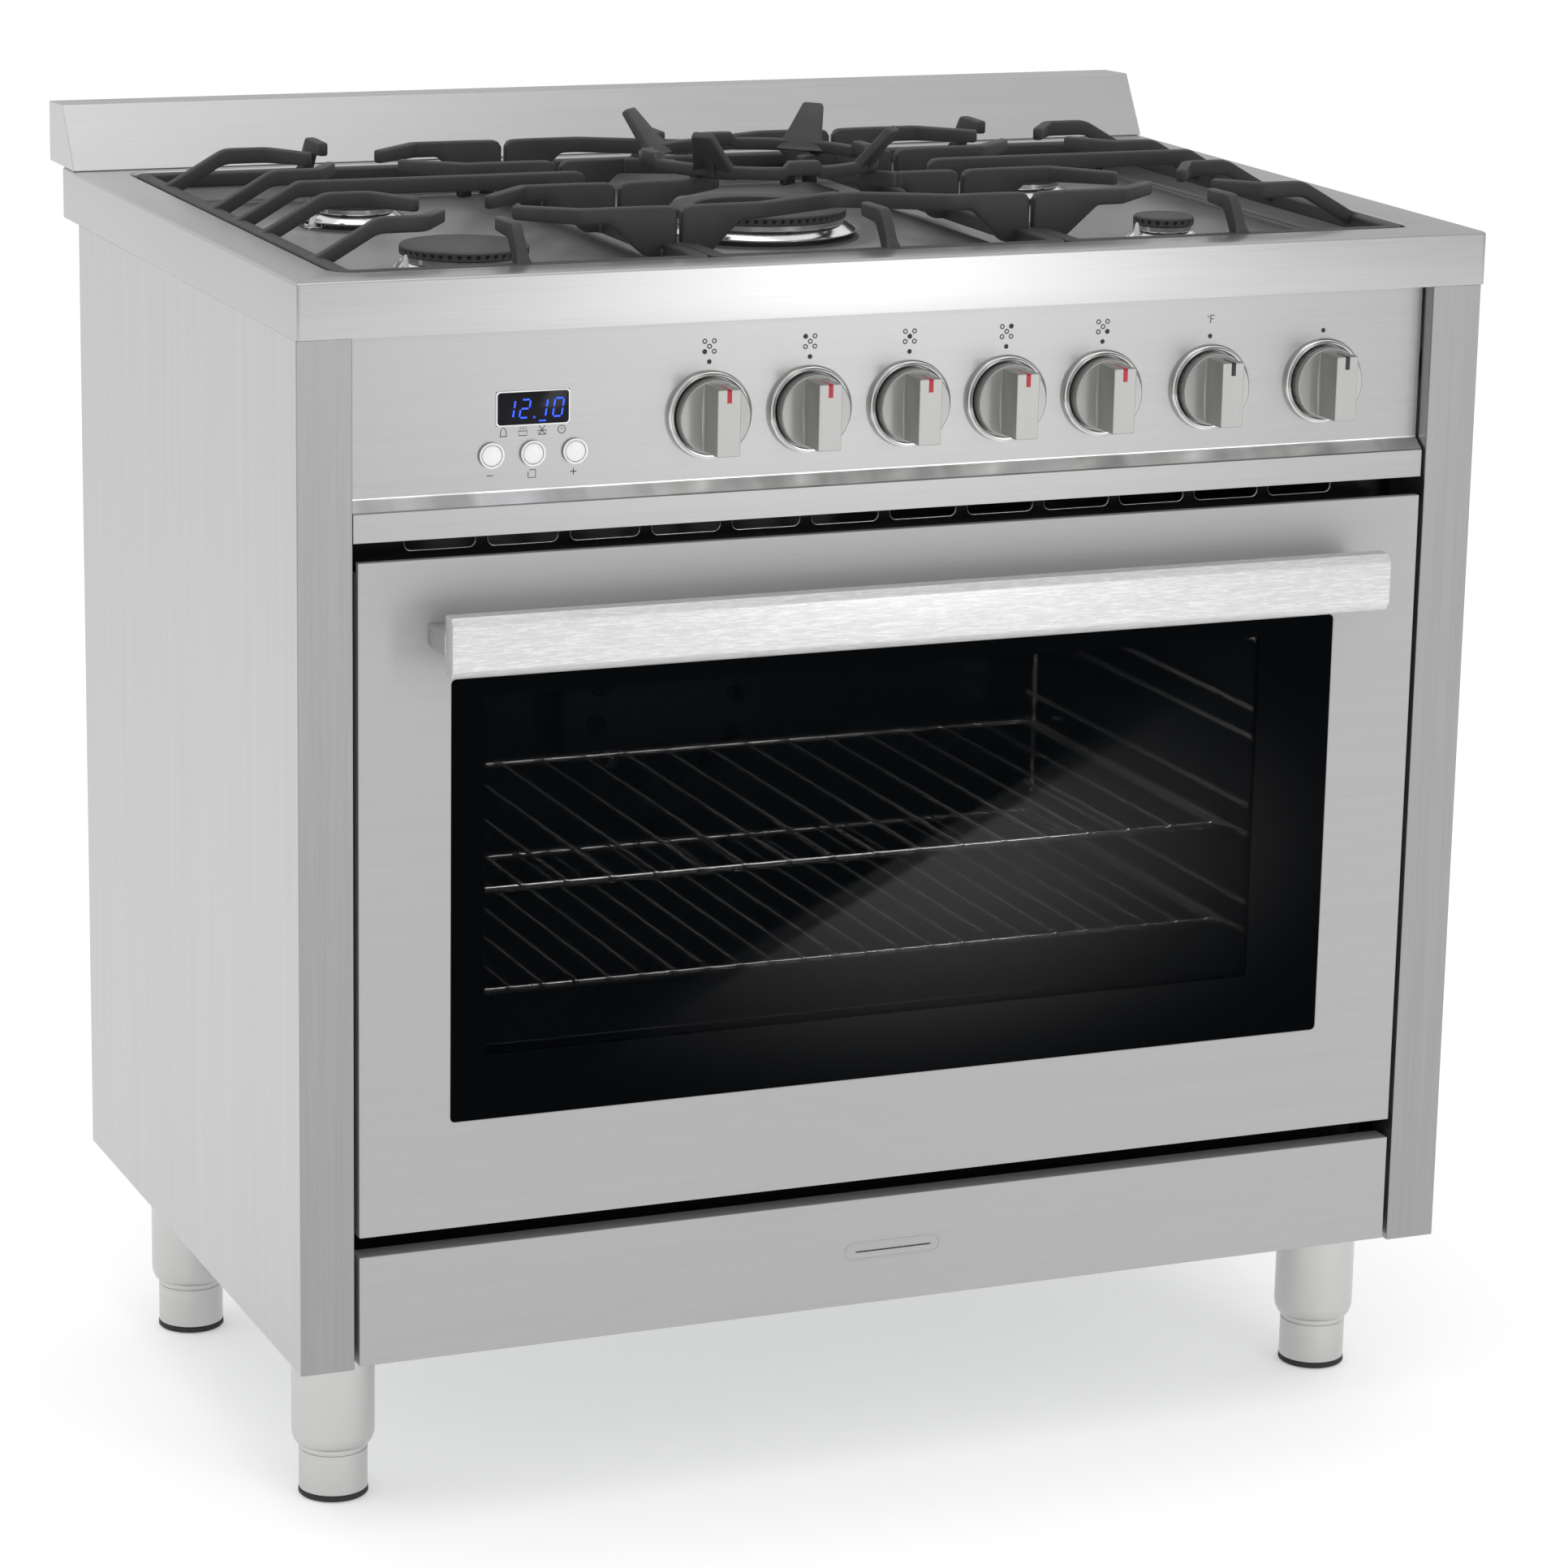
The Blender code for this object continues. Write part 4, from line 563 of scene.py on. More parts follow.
def bar(stations, edge=1.8, cut=6.0, blunt=(False, True)):
    """A cast bar along stations of (x, d, top, bottom, width): upright rounded rectangles square to its
    run, drawn in at an end that is blunt."""
    s = eased(stations, cut)
    for end, drawn in zip((0, -1), blunt):
        if drawn:
            step = unit(s[end, :2] - s[1 if end == 0 else -2, :2])
            near, far = s[end].copy(), s[end].copy()
            near[:2] -= step * 1.6
            far[2:] = far[2] - 1.3, far[3] + 1.3, far[4] * 0.66
            mid = (near + far) / 2 + (0, 0, 0.35, -0.35, 0.5)
            s = np.concatenate([[far, mid, near], s[1:]] if end == 0 else [s[:-1], [near, mid, far]])
    run = headings(s[:, :2])
    side = np.c_[-run[:, 1], run[:, 0], 0 * run[:, 0]]
    ring = corners(s[:, 4], s[:, 2] - s[:, 3], edge)
    middle = np.c_[s[:, :2], (s[:, 2] + s[:, 3]) / 2]
    return skin(middle[:, None] + side[:, None] * ring[..., :1] + np.array([0, 0, 1.0]) * ring[..., 1:])


def hoop(edges, radius, width, low, high, edge=2.2):
    """A flat frame: a rounded rectangular section carried round a rounded rectangle, its middle line."""
    ring = corners([width], [high - low], edge)[0]
    x0, x1, d0, d1 = edges
    laps = [loop(edges, -width / 2 + out, max(radius - width / 2 + out, 1.0), 0) for out in ring[:, 0]]
    rings = np.stack(laps) + np.c_[0 * ring[:, 0], 0 * ring[:, 0], ring[:, 1] + (low + high) / 2][:, None]
    return skin(rings, looped=True)


iron, place = begin("grate_iron")
grit = place.noise((620, 620, 620), 5.0, 0.62)
lumps = place.noise((70, 70, 70), 3.0)
raised = place.node("NewGeometry", out=7)
# Painted highlight: the sharpest convex edges, found by pointiness, are made lighter and a little glossier.
wear_and_edge_glint = raised.step(0.52, 0.60)
level = 0.80 + grit * 0.42 + (lumps - 0.5) * 0.35 + wear_and_edge_glint * (0.5 + lumps) * 0.9
surface(place, grit * 0.6 + lumps * 1.4, 0.00045, 0.42, Base_Color=level.tint((0.030, 0.0304, 0.0315)),
        Roughness=0.50 + grit * 0.16 - wear_and_edge_glint * 0.08)

POT, UNDER, FRAME_TOP, FRAME_LOW = RIM + 25.5, RIM + 14.0, RIM - 0.5, RIM - 11.5
NEAR, FAR, ROWS = 41.0, 553.0, (-185, -62, 62, 185)
# Top, bottom and width at each station of the castings' members, from the frame bar towards the burner.
PLATE = [(POT - 3.5, FRAME_LOW + 1, 7.2), (POT - 0.3, FRAME_LOW + 1, 7.8), (POT, FRAME_LOW + 1.5, 7.8),
         (POT, UNDER, 7.8)]
FINGER = [(FRAME_TOP, FRAME_LOW + 1, 11), (RIM + 2, FRAME_LOW + 2, 8.5), (POT, UNDER, 7.8), (POT, UNDER, 7.8)]
LEVEL, TIP = (POT, UNDER, 7.8), (POT - 0.6, UNDER + 1.0, 7.2)
END = [(FRAME_TOP, FRAME_LOW + 1, 12), (RIM + 5, FRAME_LOW + 1, 8.4), (RIM + 18, FRAME_LOW + 5, 7.8),
       (POT - 0.2, RIM + 3, 7.8), (POT, UNDER - 0.5, 7.8), (POT - 0.3, UNDER + 1.0, 7.4)]


def member(x, d, sizes, **options):
    """A bar whose stations have these x and d, and these sizes."""
    x, d = (np.broadcast_to(values, len(sizes)) for values in (x, d))
    return bar(np.column_stack([x, d, sizes]), **options)


def end_fingers(x):
    """The two fingers at x that rise from the front and rear bars and reach in over the pan."""
    reach = np.array([0, 5, 13, 19, 27, 54])
    return [member(x, MIDDLE - sign * 254 + sign * reach, END, cut=3.5) for sign in (1, -1)]


def root(x, toward, d):
    """The swelling where an inner plate meets its frame bar."""
    return member((x, toward), d, [(RIM - 2, FRAME_LOW + 0.6, 13), (RIM - 4, FRAME_LOW + 0.8, 8.2)])


def feet(*places):
    """Feet on the recess floor."""
    return [slab((x - 5, d - 5, PAN_FLOOR + 0.6), (x + 5, d + 5, FRAME_LOW + 2), 1.6)
            for x in places for d in (50, 544)]


for side, label in ((-1, "left"), (1, "right")):
    bars = [hoop((*sorted((side * 407.5, side * 136.5)), NEAR, FAR), 14, 12, FRAME_LOW, FRAME_TOP)]
    for row in ROWS:
        d, burner_d = MIDDLE + row, MIDDLE + np.copysign(126, row)
        tip = burner_d + np.copysign(26, d - burner_d)
        bars.append(member(side * np.array([404, 398, 357, 324, 300]), (d, d, d, d, tip), FINGER + [TIP]))
        bars.append(member(side * np.array([137.6, 142, 161, 189, 208, 247]), (d, d, d, d, d, tip),
                           PLATE + [LEVEL, TIP], cut=3.0, blunt=(True, True)))
        bars.append(root(side * 137.6, side * 152, d))
    bars.append(member(side * np.array([404, 398, 357, 167, 152, 142, 137.6]), MIDDLE, FINGER + PLATE[2::-1],
                       cut=3.0))
    bars += end_fingers(side * SIDEWAYS)
    piece(f"grate_{label}_casting", bars + feet(side * 398.5, side * 145.5), f"grate_{label}_body", iron,
          [f"grate_{label}"], 45)

bars = [hoop((-135.5, 135.5, NEAR, FAR), 14, 12, FRAME_LOW, FRAME_TOP)]
for row in ROWS:
    d, inward, outer_row = MIDDLE + row, -np.sign(row), abs(row) == 185
    for side in (-1, 1):
        if outer_row:
            x, turn_in = (134.4, 130, 113.5, 89.5, 75, 16, -1), (0, 0, 0, 0, 0, 29, 36)
            sizes = PLATE + [LEVEL, LEVEL, LEVEL]
        else:
            x, turn_in = (134.4, 130, 113.5, 89.5, 82, 50), (0, 0, 0, 0, 0, 21)
            sizes = PLATE + [LEVEL, (POT - 0.1, UNDER + 1.0, 7.2)]
        bars.append(member(side * np.array(x), d + inward * np.array(turn_in), sizes, cut=4.0,
                           blunt=(True, not outer_row)))
        bars.append(root(side * 134.4, side * 122, d))
bars += end_fingers(0)
piece("grate_centre_casting", bars + feet(-126.5, 126.5), "grate_centre_body", iron,
      ["grate_centre"], 45)


# ---- Wok ring ----------------------------------------------------------------------------------------
# A loose cast ring that rests on the middle grate over the triple burner. Four flared prongs carry a round
# pan; four raised lugs between them step over the grate's fingers.

ring_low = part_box("wok_ring")[0].z / MM
angle = np.radians(np.arange(0, 360, 2.5))
quarter = np.abs((np.degrees(angle) + 45) % 90 - 45)
lug = np.clip((9.5 - quarter) / 2.2, 0, 1)
lug = lug * lug * (3 - 2 * lug)
section = corners([8.0], [9.0], 1.8)[0]
out = 85.0 + section[:, 0]
lift = section[:, 1] + 4.5
rings = np.stack([out[None] * np.cos(angle)[:, None], MIDDLE + out[None] * np.sin(angle)[:, None],
                  ring_low + lift[None] + lug[:, None] * np.where(section[:, 1] > 0, 4.6, 3.0)[None]], -1)
shapes = [skin(rings, looped=True)]
for turn in np.radians((45, 135, 225, 315)):
    outward, along = np.array([np.cos(turn), np.sin(turn), 0]), np.array([-np.sin(turn), np.cos(turn), 0])
    place_at = np.array([0, MIDDLE, ring_low])
    path = eased([(82.0, 0.6, 38.0, 9.0), (84.5, 7.0, 31.0, 7.6), (91.0, 14.5, 26.0, 6.8),
                  (106.6, 33.6, 16.4, 6.0)], 5.0)
    tip = path[-1]
    lean = unit(path[-1, :2] - path[-2, :2])
    path = np.concatenate([path[:-1], [tip - (*lean * 1.5, 0, 0)], [tip - (*lean * 0.4, 1.0, 0.8)],
                           [tip - (0, 0, 3.2, 2.4)]])
    run = unit(np.gradient(path[:, :2], axis=0))
    face = outward * run[:, 1:] + np.array([0, 0, -1.0]) * run[:, :1]
    ring = corners(path[:, 2], path[:, 3], 1.7)
    middle = place_at + outward * path[:, :1] + np.array([0, 0, 1.0]) * path[:, 1:2]
    shapes.append(skin(middle[:, None] + along * ring[..., :1] + face[:, None] * ring[..., 1:]))
    web = np.array([(86, 1.0, 8.6), (90, 1.0, 11.0), (94, 9.0, 17.5), (98, 17.0, 22.5), (101, 24.5, 26.5)])
    ring = corners(np.full(5, 6.4), web[:, 2] - web[:, 1], 1.5)
    middle = place_at + outward * (web[:, :1] - 1) + np.array([0, 0, 1.0]) * web[:, 1:].mean(1, keepdims=True)
    shapes.append(skin(middle[:, None] + along * ring[..., :1] + np.array([0, 0, 1.0]) * ring[..., 1:]))
piece("wok_ring_casting", shapes, "wok_ring_body", iron, ["wok_ring"], 45)


# ---- Control panel and its printing ------------------------------------------------------------------
# One stainless fascia, bent back under itself through a crease and a bullnose, screwed behind the hob's
# apron. Dots, burner diagrams and button marks are screen-printed on it in black.

FASCIA = 17.5                                 # depth of the flat face
SLOPE = (RIM * MM - 0.1585, RIM * MM - 0.1507)  # heights of the strip between the bullnose and the crease
# fold=SLOPE paints a highlight on the strip between the bullnose and the crease.
fascia_steel = brushed("fascia_steel", (0.385, 0.385, 0.383), 0, 0.33, 0.13, fold=SLOPE)
softened("control_panel", fascia_steel, 0.6)


def ribbon(path, width, front, thick=0.10, looped=False):
    """A thin line laid on a face: a flat section carried along points of (x, height)."""
    p = np.array(path, float)
    run = unit(np.roll(p, -1, 0) - np.roll(p, 1, 0)) if looped else headings(p)
    side = np.c_[-run[:, 1], run[:, 0]] * width / 2
    back = front + thick
    rings = np.stack([np.c_[edge[:, 0], np.full(len(p), depth), edge[:, 1]] for edge, depth in
                      ((p + side, front), (p + side, back), (p - side, back), (p - side, front))], 1)
    return skin(rings, looped=looped)


def circle(x, z, radius):
    """Points of (x, height) round a circle."""
    turn = np.linspace(0, 2 * np.pi, 24, endpoint=False)
    return np.c_[x + radius * np.cos(turn), z + radius * np.sin(turn)]


def dot(x, z, radius):
    """A filled printed dot."""
    return turned([(0, 0.08), (radius, 0.08), (radius, -0.04), (0, -0.04)], x, FASCIA, z, 20, "y")


def mark(x, below_rim, width, *path, looped=False):
    """A printed line through points given from a centre at x, so far below the hob's rim."""
    return ribbon(np.array(path) + (x, RIM - below_rim), width, FASCIA - 0.06, looped=looped)


ink = grained("print_ink", (0.022, 0.022, 0.023), 900, (0.7, 0.6), (0.5, 0.2), strength=0.2)
centres = [(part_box(f"knob_{n}")[0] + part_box(f"knob_{n}")[1]) / 2 / MM for n in range(1, 8)]
AXIS = centres[0].z
marks = [dot(c.x, RIM - 69.3, 1.7) for c in centres]
plan = [(-3.5, 3.6), (3.5, 3.6), (0, 0), (-3.5, -3.6), (3.5, -3.6)]
for c, filled in zip(centres, (3, 0, 2, 1, 4)):                  # which burner each gas knob feeds
    for number, (x, z) in enumerate(plan):
        marks.append(dot(c.x + x, RIM - 58.6 + z, 1.8) if number == filled else
                     mark(c.x, 58.6, 0.80, *circle(x, z, 1.4), looped=True))
x = centres[5].x                                                 # degree sign and F, over the thermostat
marks += [mark(x, 55.2, 0.3, *circle(-1.7, 0, 0.75), looped=True), mark(x, 54, 0.6, (0, -6), (0, 0)),
          mark(x, 54.3, 0.6, (0, 0), (2.9, 0)), mark(x, 56.9, 0.6, (0, 0), (2.4, 0))]
bell = [(-2.2, 0), (-2.0, 2.4), (-1.6, 4.4), (0, 6.2), (1.6, 4.4), (2.0, 2.4), (2.2, 0)]
marks += [mark(-298.4, 113.4, 0.55, *bell), mark(-298.4, 113.5, 0.55, (-2.6, 0), (2.6, 0))]
marks += [mark(-284.4, 113.5, 0.55, (-3.4, 3.1), (3.4, 3.1), (2.7, 0), (-2.7, 0), looped=True)]
marks += [mark(-284.4 + s, 109.4, 0.35, (0, 0), (0.4, 1.1), (0, 2.0)) for s in (-2.1, -0.7, 0.7, 2.1)]
marks += [mark(-270.5, 113.4, 0.55, (-3.3, 2.8), (3.3, 2.8), (2.7, 0), (-2.7, 0), looped=True),
          mark(-270.5, 113.2, 0.6, (-2.2, 6.0), (2.0, 0)), mark(-270.5, 113.2, 0.6, (2.2, 6.0), (-2.0, 0))]
marks += [mark(-256.3, 110.6, 0.55, *circle(0, 0, 2.7), looped=True),
          mark(-256.3, 110.6, 0.38, (-1.1, 1.3), (0, -0.2), (1.3, 1.0))]          # clock face
marks += [mark(-307.9, 140, 0.6, (-2.3, 0), (2.3, 0)), mark(-247.6, 140.2, 0.6, (-2.3, 0), (2.3, 0)),
          mark(-247.6, 140.2, 0.6, (0, -2.3), (0, 2.3)),
          mark(-277.7, 140.2, 0.6, (-1.6, 2.7), (2.7, 2.7), (2.7, -2.7), (-2.7, -2.7), (-2.7, 1.2))]
piece("fascia_printing", marks, "casing", ink)


# ---- Clock -------------------------------------------------------------------------------------------
# A black plastic timer module behind the fascia. Its smoked window shows through with a fine light edge,
# and slanted blue segments glow behind it.

def dress(node, material):
    """Gives a CAD solid that shows as it is its own finish."""
    slots = frame["nodes"][node].data.materials
    slots.clear()
    slots.append(material)


def upright(shape):
    """The same shape with its depth and its height exchanged, for frames laid out face on."""
    points, faces = shape
    return points[:, [0, 2, 1]], faces


smoked = grained("clock_plastic", (0.006, 0.006, 0.009), 60, (0.6, 0.8), (0.10, 0.06), strength=0.1,
                 Specular_IOR_Level=0.12)
dress("clock_module", smoked)
SCREEN = (-302.9, -251.6, 787.3, 809.5)
x0, x1, z0, z1 = SCREEN
piece("clock_window", [slab((x0, 16.6, z0), (x1, 17.6, z1), 0.3, 1, 1.8)], "casing", smoked)
silver = grained("silver_trim", (0.88, 0.88, 0.88), 200, (0.9, 0.15), (0.3, 0.1))
section = ((0.1, 17.6), (0.1, 16.5), (0.9, 16.5), (1.1, 17.6))
laps = [loop(SCREEN, grow, 2.4, depth) for grow, depth in section]
piece("clock_edging", [upright(skin(np.stack(laps), looped=True))], "casing", silver)
blue, place = begin("clock_digits")
flicker = place.noise((800, 800, 800))
surface(place, Base_Color=(0.8 + flicker * 0.4).tint((0.01, 0.04, 0.30)), Roughness=0.4 + flicker * 0.1,
        Emission_Color=(0.9 + flicker * 0.2).tint((0.012, 0.075, 1.0)), Emission_Strength=1.6)
TALL, WIDE, LEAN, GLOW = 12.4, 6.4, 0.16, 16.48
strokes = {"a": ((0, 1), (1, 1)), "b": ((1, 1), (1, 0.5)), "c": ((1, 0.5), (1, 0)), "d": ((0, 0), (1, 0)),
           "e": ((0, 0.5), (0, 0)), "f": ((0, 1), (0, 0.5)), "g": ((0, 0.5), (1, 0.5))}
digits = []
for start, lit in ((-298.4, "bc"), (-287.4, "abged"), (-275.0, "bc"), (-263.3, "abcdef")):
    for name in lit:
        ends = np.array(strokes[name]) * (WIDE, TALL)
        inward = unit(ends[1] - ends[0]) * 0.75
        ends = ends + np.stack([inward, -inward])
        path = np.c_[start + ends[:, 0] + ends[:, 1] * LEAN, z0 + 4.6 + ends[:, 1]]
        near = path + (path.mean(0) - path) * 0.12
        digits.append(ribbon([path[0], near[0], near[1], path[1]], 1.15, GLOW))
digits += [ribbon([(-277.2, z0 + 4.6), (-275.9, z0 + 4.6)], 1.3, GLOW),
           ribbon([(-273.2, z0 + 2.0), (-268.0, z0 + 2.0)], 1.0, GLOW)]
piece("clock_digits", digits, "casing", blue)


# ---- Buttons -----------------------------------------------------------------------------------------
# Three white push buttons, slightly domed, each inside a fixed white ring pressed into the fascia.

white_cap = grained("button_silver", (0.88, 0.88, 0.88), 120, (0.94, 0.08), (0.24, 0.1), strength=0.1)
for label in ("minus", "set", "plus"):
    low, high = (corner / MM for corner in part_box(f"button_{label}"))
    x, z, front = (low.x + high.x) / 2, (low.z + high.z) / 2, -(low.y - HOB_FRONT / MM)
    r = (high.x - low.x) / 2
    button = [(0, front - 10), (r, front - 10), (r, front - 1.5), (r - 0.5, front - 0.7),
              (r - 1.6, front - 0.2), (0, front)]
    piece(f"button_{label}_cap", [turned(button, x, 0, z, 48, "y")], f"button_{label}_body", white_cap,
          [f"button_{label}"])
    ring = [(r + 0.45, -FASCIA - 0.3), (r + 0.45, -15.4), (r + 0.9, -14.9), (r + 1.7, -14.9), (8.0, -16.0),
            (8.3, -16.8), (8.3, -FASCIA - 0.3), (r + 0.45, -FASCIA - 0.3)]
    piece(f"button_{label}_ring", [turned(ring, x, 0, z, 48, "y", capped=False)], "casing", white_cap)


# ---- Knobs -------------------------------------------------------------------------------------------
# Seven turned metal knobs on D-shaped spindles: a round skirt with an upright grip bar. Each grip has an
# inlaid pointer, red for gas and black for the oven, and a stepped ring behind it guards the fascia.

knob_metal = brushed("knob_metal", (0.40, 0.398, 0.39), 2, 0.40, 0.10, 40.0, 900.0, metal=0.85)
polished = grained("bezel_metal", (0.64, 0.64, 0.63), 60, (0.9, 0.15), (0.16, 0.12), strength=0.1,
                   Metallic=1.0)
red_inlay = grained("pointer_red", (0.40, 0.008, 0.022), 400, (0.85, 0.3), (0.34, 0.1), strength=0.2)
SKIRT, GRIP_WIDE, GRIP_LONG = 26.2, 17.2, 46.6
TOP = AXIS + GRIP_LONG / 2
# Each row of the grip gives a depth and how much wider than the bar it is there: a fillet, walls, a round.
grip_rows = np.array([(4.3, 4.6), (3.7, 3.0), (3.0, 1.7), (2.1, 0.7), (0.9, 0.1), (0.2, 0), (-20.1, 0),
                      (-20.7, -0.3), (-21, -1.0)])
grip_ring = corners(GRIP_WIDE + grip_rows[:, 1], GRIP_LONG + np.minimum(grip_rows[:, 1], 0.0), 0.8)
skirt = [(0, -38), (3.4, -38), (4, -37.4), (4, -14.5), (9, -14), (24.6, -14), (25.8, -13.4), (SKIRT, -12.4),
         (SKIRT, -4.1), (25.9, -3.5), (25.2, -3.05), (24.6, -3.1), (12, -3.7), (0, -4.0)]
bezel = [(27.3, -FASCIA - 0.4), (27.3, -11.9), (27.8, -11.3), (28.6, -11.2), (29.1, -11.7), (29.3, -12.8),
         (30.2, -13.1), (30.8, -13.7), (31.0, -14.6), (31.0, -FASCIA - 0.4), (27.3, -FASCIA - 0.4)]
for number, c in enumerate(centres, 1):
    x, body, gas = c.x, f"knob_{number}_body", number < 6
    across, up = grip_ring[..., 0], grip_ring[..., 1]
    grip = np.stack([x + across, 0 * across + grip_rows[:, :1], AXIS + up], -1)
    piece(f"knob_{number}_metal", [turned(skirt, x, 0, AXIS, 96, "y"), skin(grip)], body, knob_metal,
          [f"knob_{number}"], 26)
    pointer = [ribbon([(x, TOP - 0.5), (x, TOP - 8.2), (x, TOP - 8.9), (x, TOP - 9.3)], 3.4, -21.12, 0.3),
               slab((x - 1.7, -21.12, TOP - 1.2), (x + 1.7, -19.8, TOP + 0.12), 0.3, 1),
               slab((x - 1.05, -20.6, TOP - 0.4), (x + 1.05, -5.0, TOP + 0.12), 0.1, 1)]
    piece(f"knob_{number}_pointer", pointer, body, red_inlay if gas else ink)
    piece(f"knob_{number}_bezel", [turned(bezel, x, 0, AXIS, 96, "y", capped=False)], "casing", polished,
          crease=24)
    if not gas:
        shape, faces = slab((SKIRT - 0.2, 8.6, -0.28), (SKIRT + 0.07, 12.0, 0.28), 0.05, 1)
        out, depth, along = shape.T
        ticks = [(np.c_[x + out * np.cos(turn) - along * np.sin(turn), depth,
                        AXIS + out * np.sin(turn) + along * np.cos(turn)], faces)
                 for turn in np.radians(np.arange(100, 330, 17.0))]
        piece(f"knob_{number}_scale", ticks, body, ink)


# ---- Gas rail ----------------------------------------------------------------------------------------
# A brass manifold behind the fascia with a tap for each burner knob, fed by a pipe that leaves through the
# back panel and ends in a threaded union nut.

brass, place = begin("gas_brass")
tarnish = place.noise((45, 45, 45))
surface(place, tarnish, 0.0001, 0.2, Metallic=1.0, Roughness=0.26 + tarnish * 0.2,
        Base_Color=tarnish.step(0.3, 0.75).blend((0.44, 0.30, 0.13), (0.66, 0.50, 0.25)))
softened("gas_rail", brass, 0.3, 40.0)


# ---- Oven liner --------------------------------------------------------------------------------------
# A pressed muffle and its front frame in black vitreous enamel. Vent slots with rolled lips run across the
# frame above the door, a woven seal goes round the mouth, and a lamp sits in the rear wall.

oven_enamel, place = begin("oven_enamel")
speckle = place.noise((420, 420, 420), 4.0).step(0.66, 0.74)
wave = place.noise((22, 22, 22))
surface(place, wave, 0.0002, 0.12, Base_Color=speckle.blend((0.008, 0.009, 0.011), (0.05, 0.055, 0.065)),
        Roughness=0.16 + wave * 0.14)
softened("oven_cavity", oven_enamel, 0.5)
lips = [upright(hoop((x - 26.3, x + 26.3, 696.7, 718.3), 5.4, 0.9, 50.8, 52.6, 0.45))
        for x in (np.arange(12) - 5.5) * 60.4]
# Painted highlight: the rolled lips are enamel like the frame; this bright steel on them stands in for the
# light that they catch.
lip_highlight = brushed("lip_highlight", (0.80, 0.80, 0.80), 0, 0.24, 0.2)
piece("vent_lips", lips, "casing", lip_highlight)
seal_cloth, place = begin("seal_braid")
weave = place.node("TexWave", {"bands_direction": "DIAGONAL"},
                   {"Vector": place, "Scale": 260.0, "Distortion": 1.0}, out=1)
surface(place, weave, 0.0004, 0.6, Base_Color=(0.6 + weave * 0.6).tint((0.045, 0.043, 0.04)),
        Roughness=0.75 + weave * 0.1)
piece("oven_seal", [upright(hoop((-331, 331, 262, 664), 16, 7.0, 48.3, 52.4, 2.0))], "casing", seal_cloth)
heads = [dome(2.6, 1.2, x, 52, 214, "y") for x in (-372, -120, 128, 372)]
heads += [dome(2.6, 1.2, x, 52, z, "y") for x in (-398, 398) for z in (330, 560)]
piece("frame_screws", heads, "casing", zinc)
lamp = [(0, 14), (14, 13), (19, 9), (21, 4), (24, 3), (25, 0), (25, -1), (0, -1)]
lamp_glass = grained("lamp_glass", (0.55, 0.55, 0.50), 90, (0.8, 0.3), (0.2, 0.2), 0.0003, 0.3)
piece("oven_lamp", [turned(lamp, 235, 503.4, 600, 40, "y")], "casing", lamp_glass)
blued = brushed("burner_tube", (0.30, 0.30, 0.32), 1, 0.38, 0.2, 30.0, 500.0)
softened("oven_burner", blued, 0.3)
softened("fan_cover", oven_enamel, 0.3)
fan_steel = brushed("fan_steel", (0.45, 0.45, 0.45), 0, 0.3, 0.1)
softened("convection_fan", fan_steel, 0.2, 40.0)


# ---- Racks -------------------------------------------------------------------------------------------
# Chromed steel wire, spot-welded: side guides hooked on the cavity walls, and two sliding racks whose
# cross wires are turned down over the front rail, so that their ends stand up as a row of bright beads.

chrome_wire = grained("wire_chrome", (0.80, 0.79, 0.77), 180, (0.88, 0.2), (0.14, 0.14), Metallic=0.85)


def wire(path, radius, sides=8, normal=(0, 0, 1)):
    """A round wire along a path in a plane with that normal: circles square to the run, mitred at bends,
    its ends rounded by two smaller circles."""
    p = np.array(path, float)
    run = headings(p)
    p = np.concatenate([[p[0] - run[0] * radius * 0.6], p, [p[-1] + run[-1] * radius * 0.6]])
    run = np.concatenate([run[:1], run, run[-1:]])
    size = np.full(len(p), radius)
    size[[0, -1]] = radius * 0.55
    up = np.broadcast_to(np.array(normal, float), run.shape)
    side = np.cross(run, up)
    turn = np.arange(sides) / sides * 2 * np.pi
    offset = side[:, None] * np.cos(turn)[None, :, None] + up[:, None] * np.sin(turn)[None, :, None]
    return skin(p[:, None] + offset * size[:, None, None])


for label in ("left", "right"):
    softened(f"rack_guide_{label}", chrome_wire, 0.1, 60.0)
for label, count in (("upper", 18), ("lower", 24)):
    low, high = (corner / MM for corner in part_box(f"rack_{label}"))
    x0, x1, d0, d1 = low.x + 3, high.x - 3, low.y - HOB_FRONT / MM + 3, high.y - HOB_FRONT / MM - 3
    rail, over = low.z + 3, high.z - 1.9
    shapes = [hoop((x0, x1, d0, d1), 8, 5.6, rail - 2.8, rail + 2.8, 2.7)]
    for x in np.linspace(x0 + 14, x1 - 14, count):
        path = eased([(x, d0 - 0.2, rail + 1.4), (x, d0 + 3.2, over), (x, d1 - 3.2, over),
                      (x, d1 + 0.2, rail + 1.4)], 3.0, 3)
        bead = [(0, -2.4), (2.2, -1.6), (2.9, 0), (2.4, 1.6), (0, 2.5)]
        shapes += [wire(path, 1.8, 6, (1, 0, 0)), turned(bead, x, d0 + 0.3, over - 0.7, 10)]
    piece(f"rack_{label}_wires", shapes, f"rack_{label}_body", chrome_wire, [f"rack_{label}"],
          60)


# ---- Door --------------------------------------------------------------------------------------------
# A folded stainless front skin round a flush black-edged glass, with an enamelled inner frame that holds
# the heat-reflecting inner pane. It drops down on two sprung hinges at the bottom.

softened("door_skin", front_steel, 0.7)
softened("door_liner", oven_enamel, 0.6)
for label in ("left", "right"):
    softened(f"door_hinge_{label}", zinc, 0.3, 40.0)

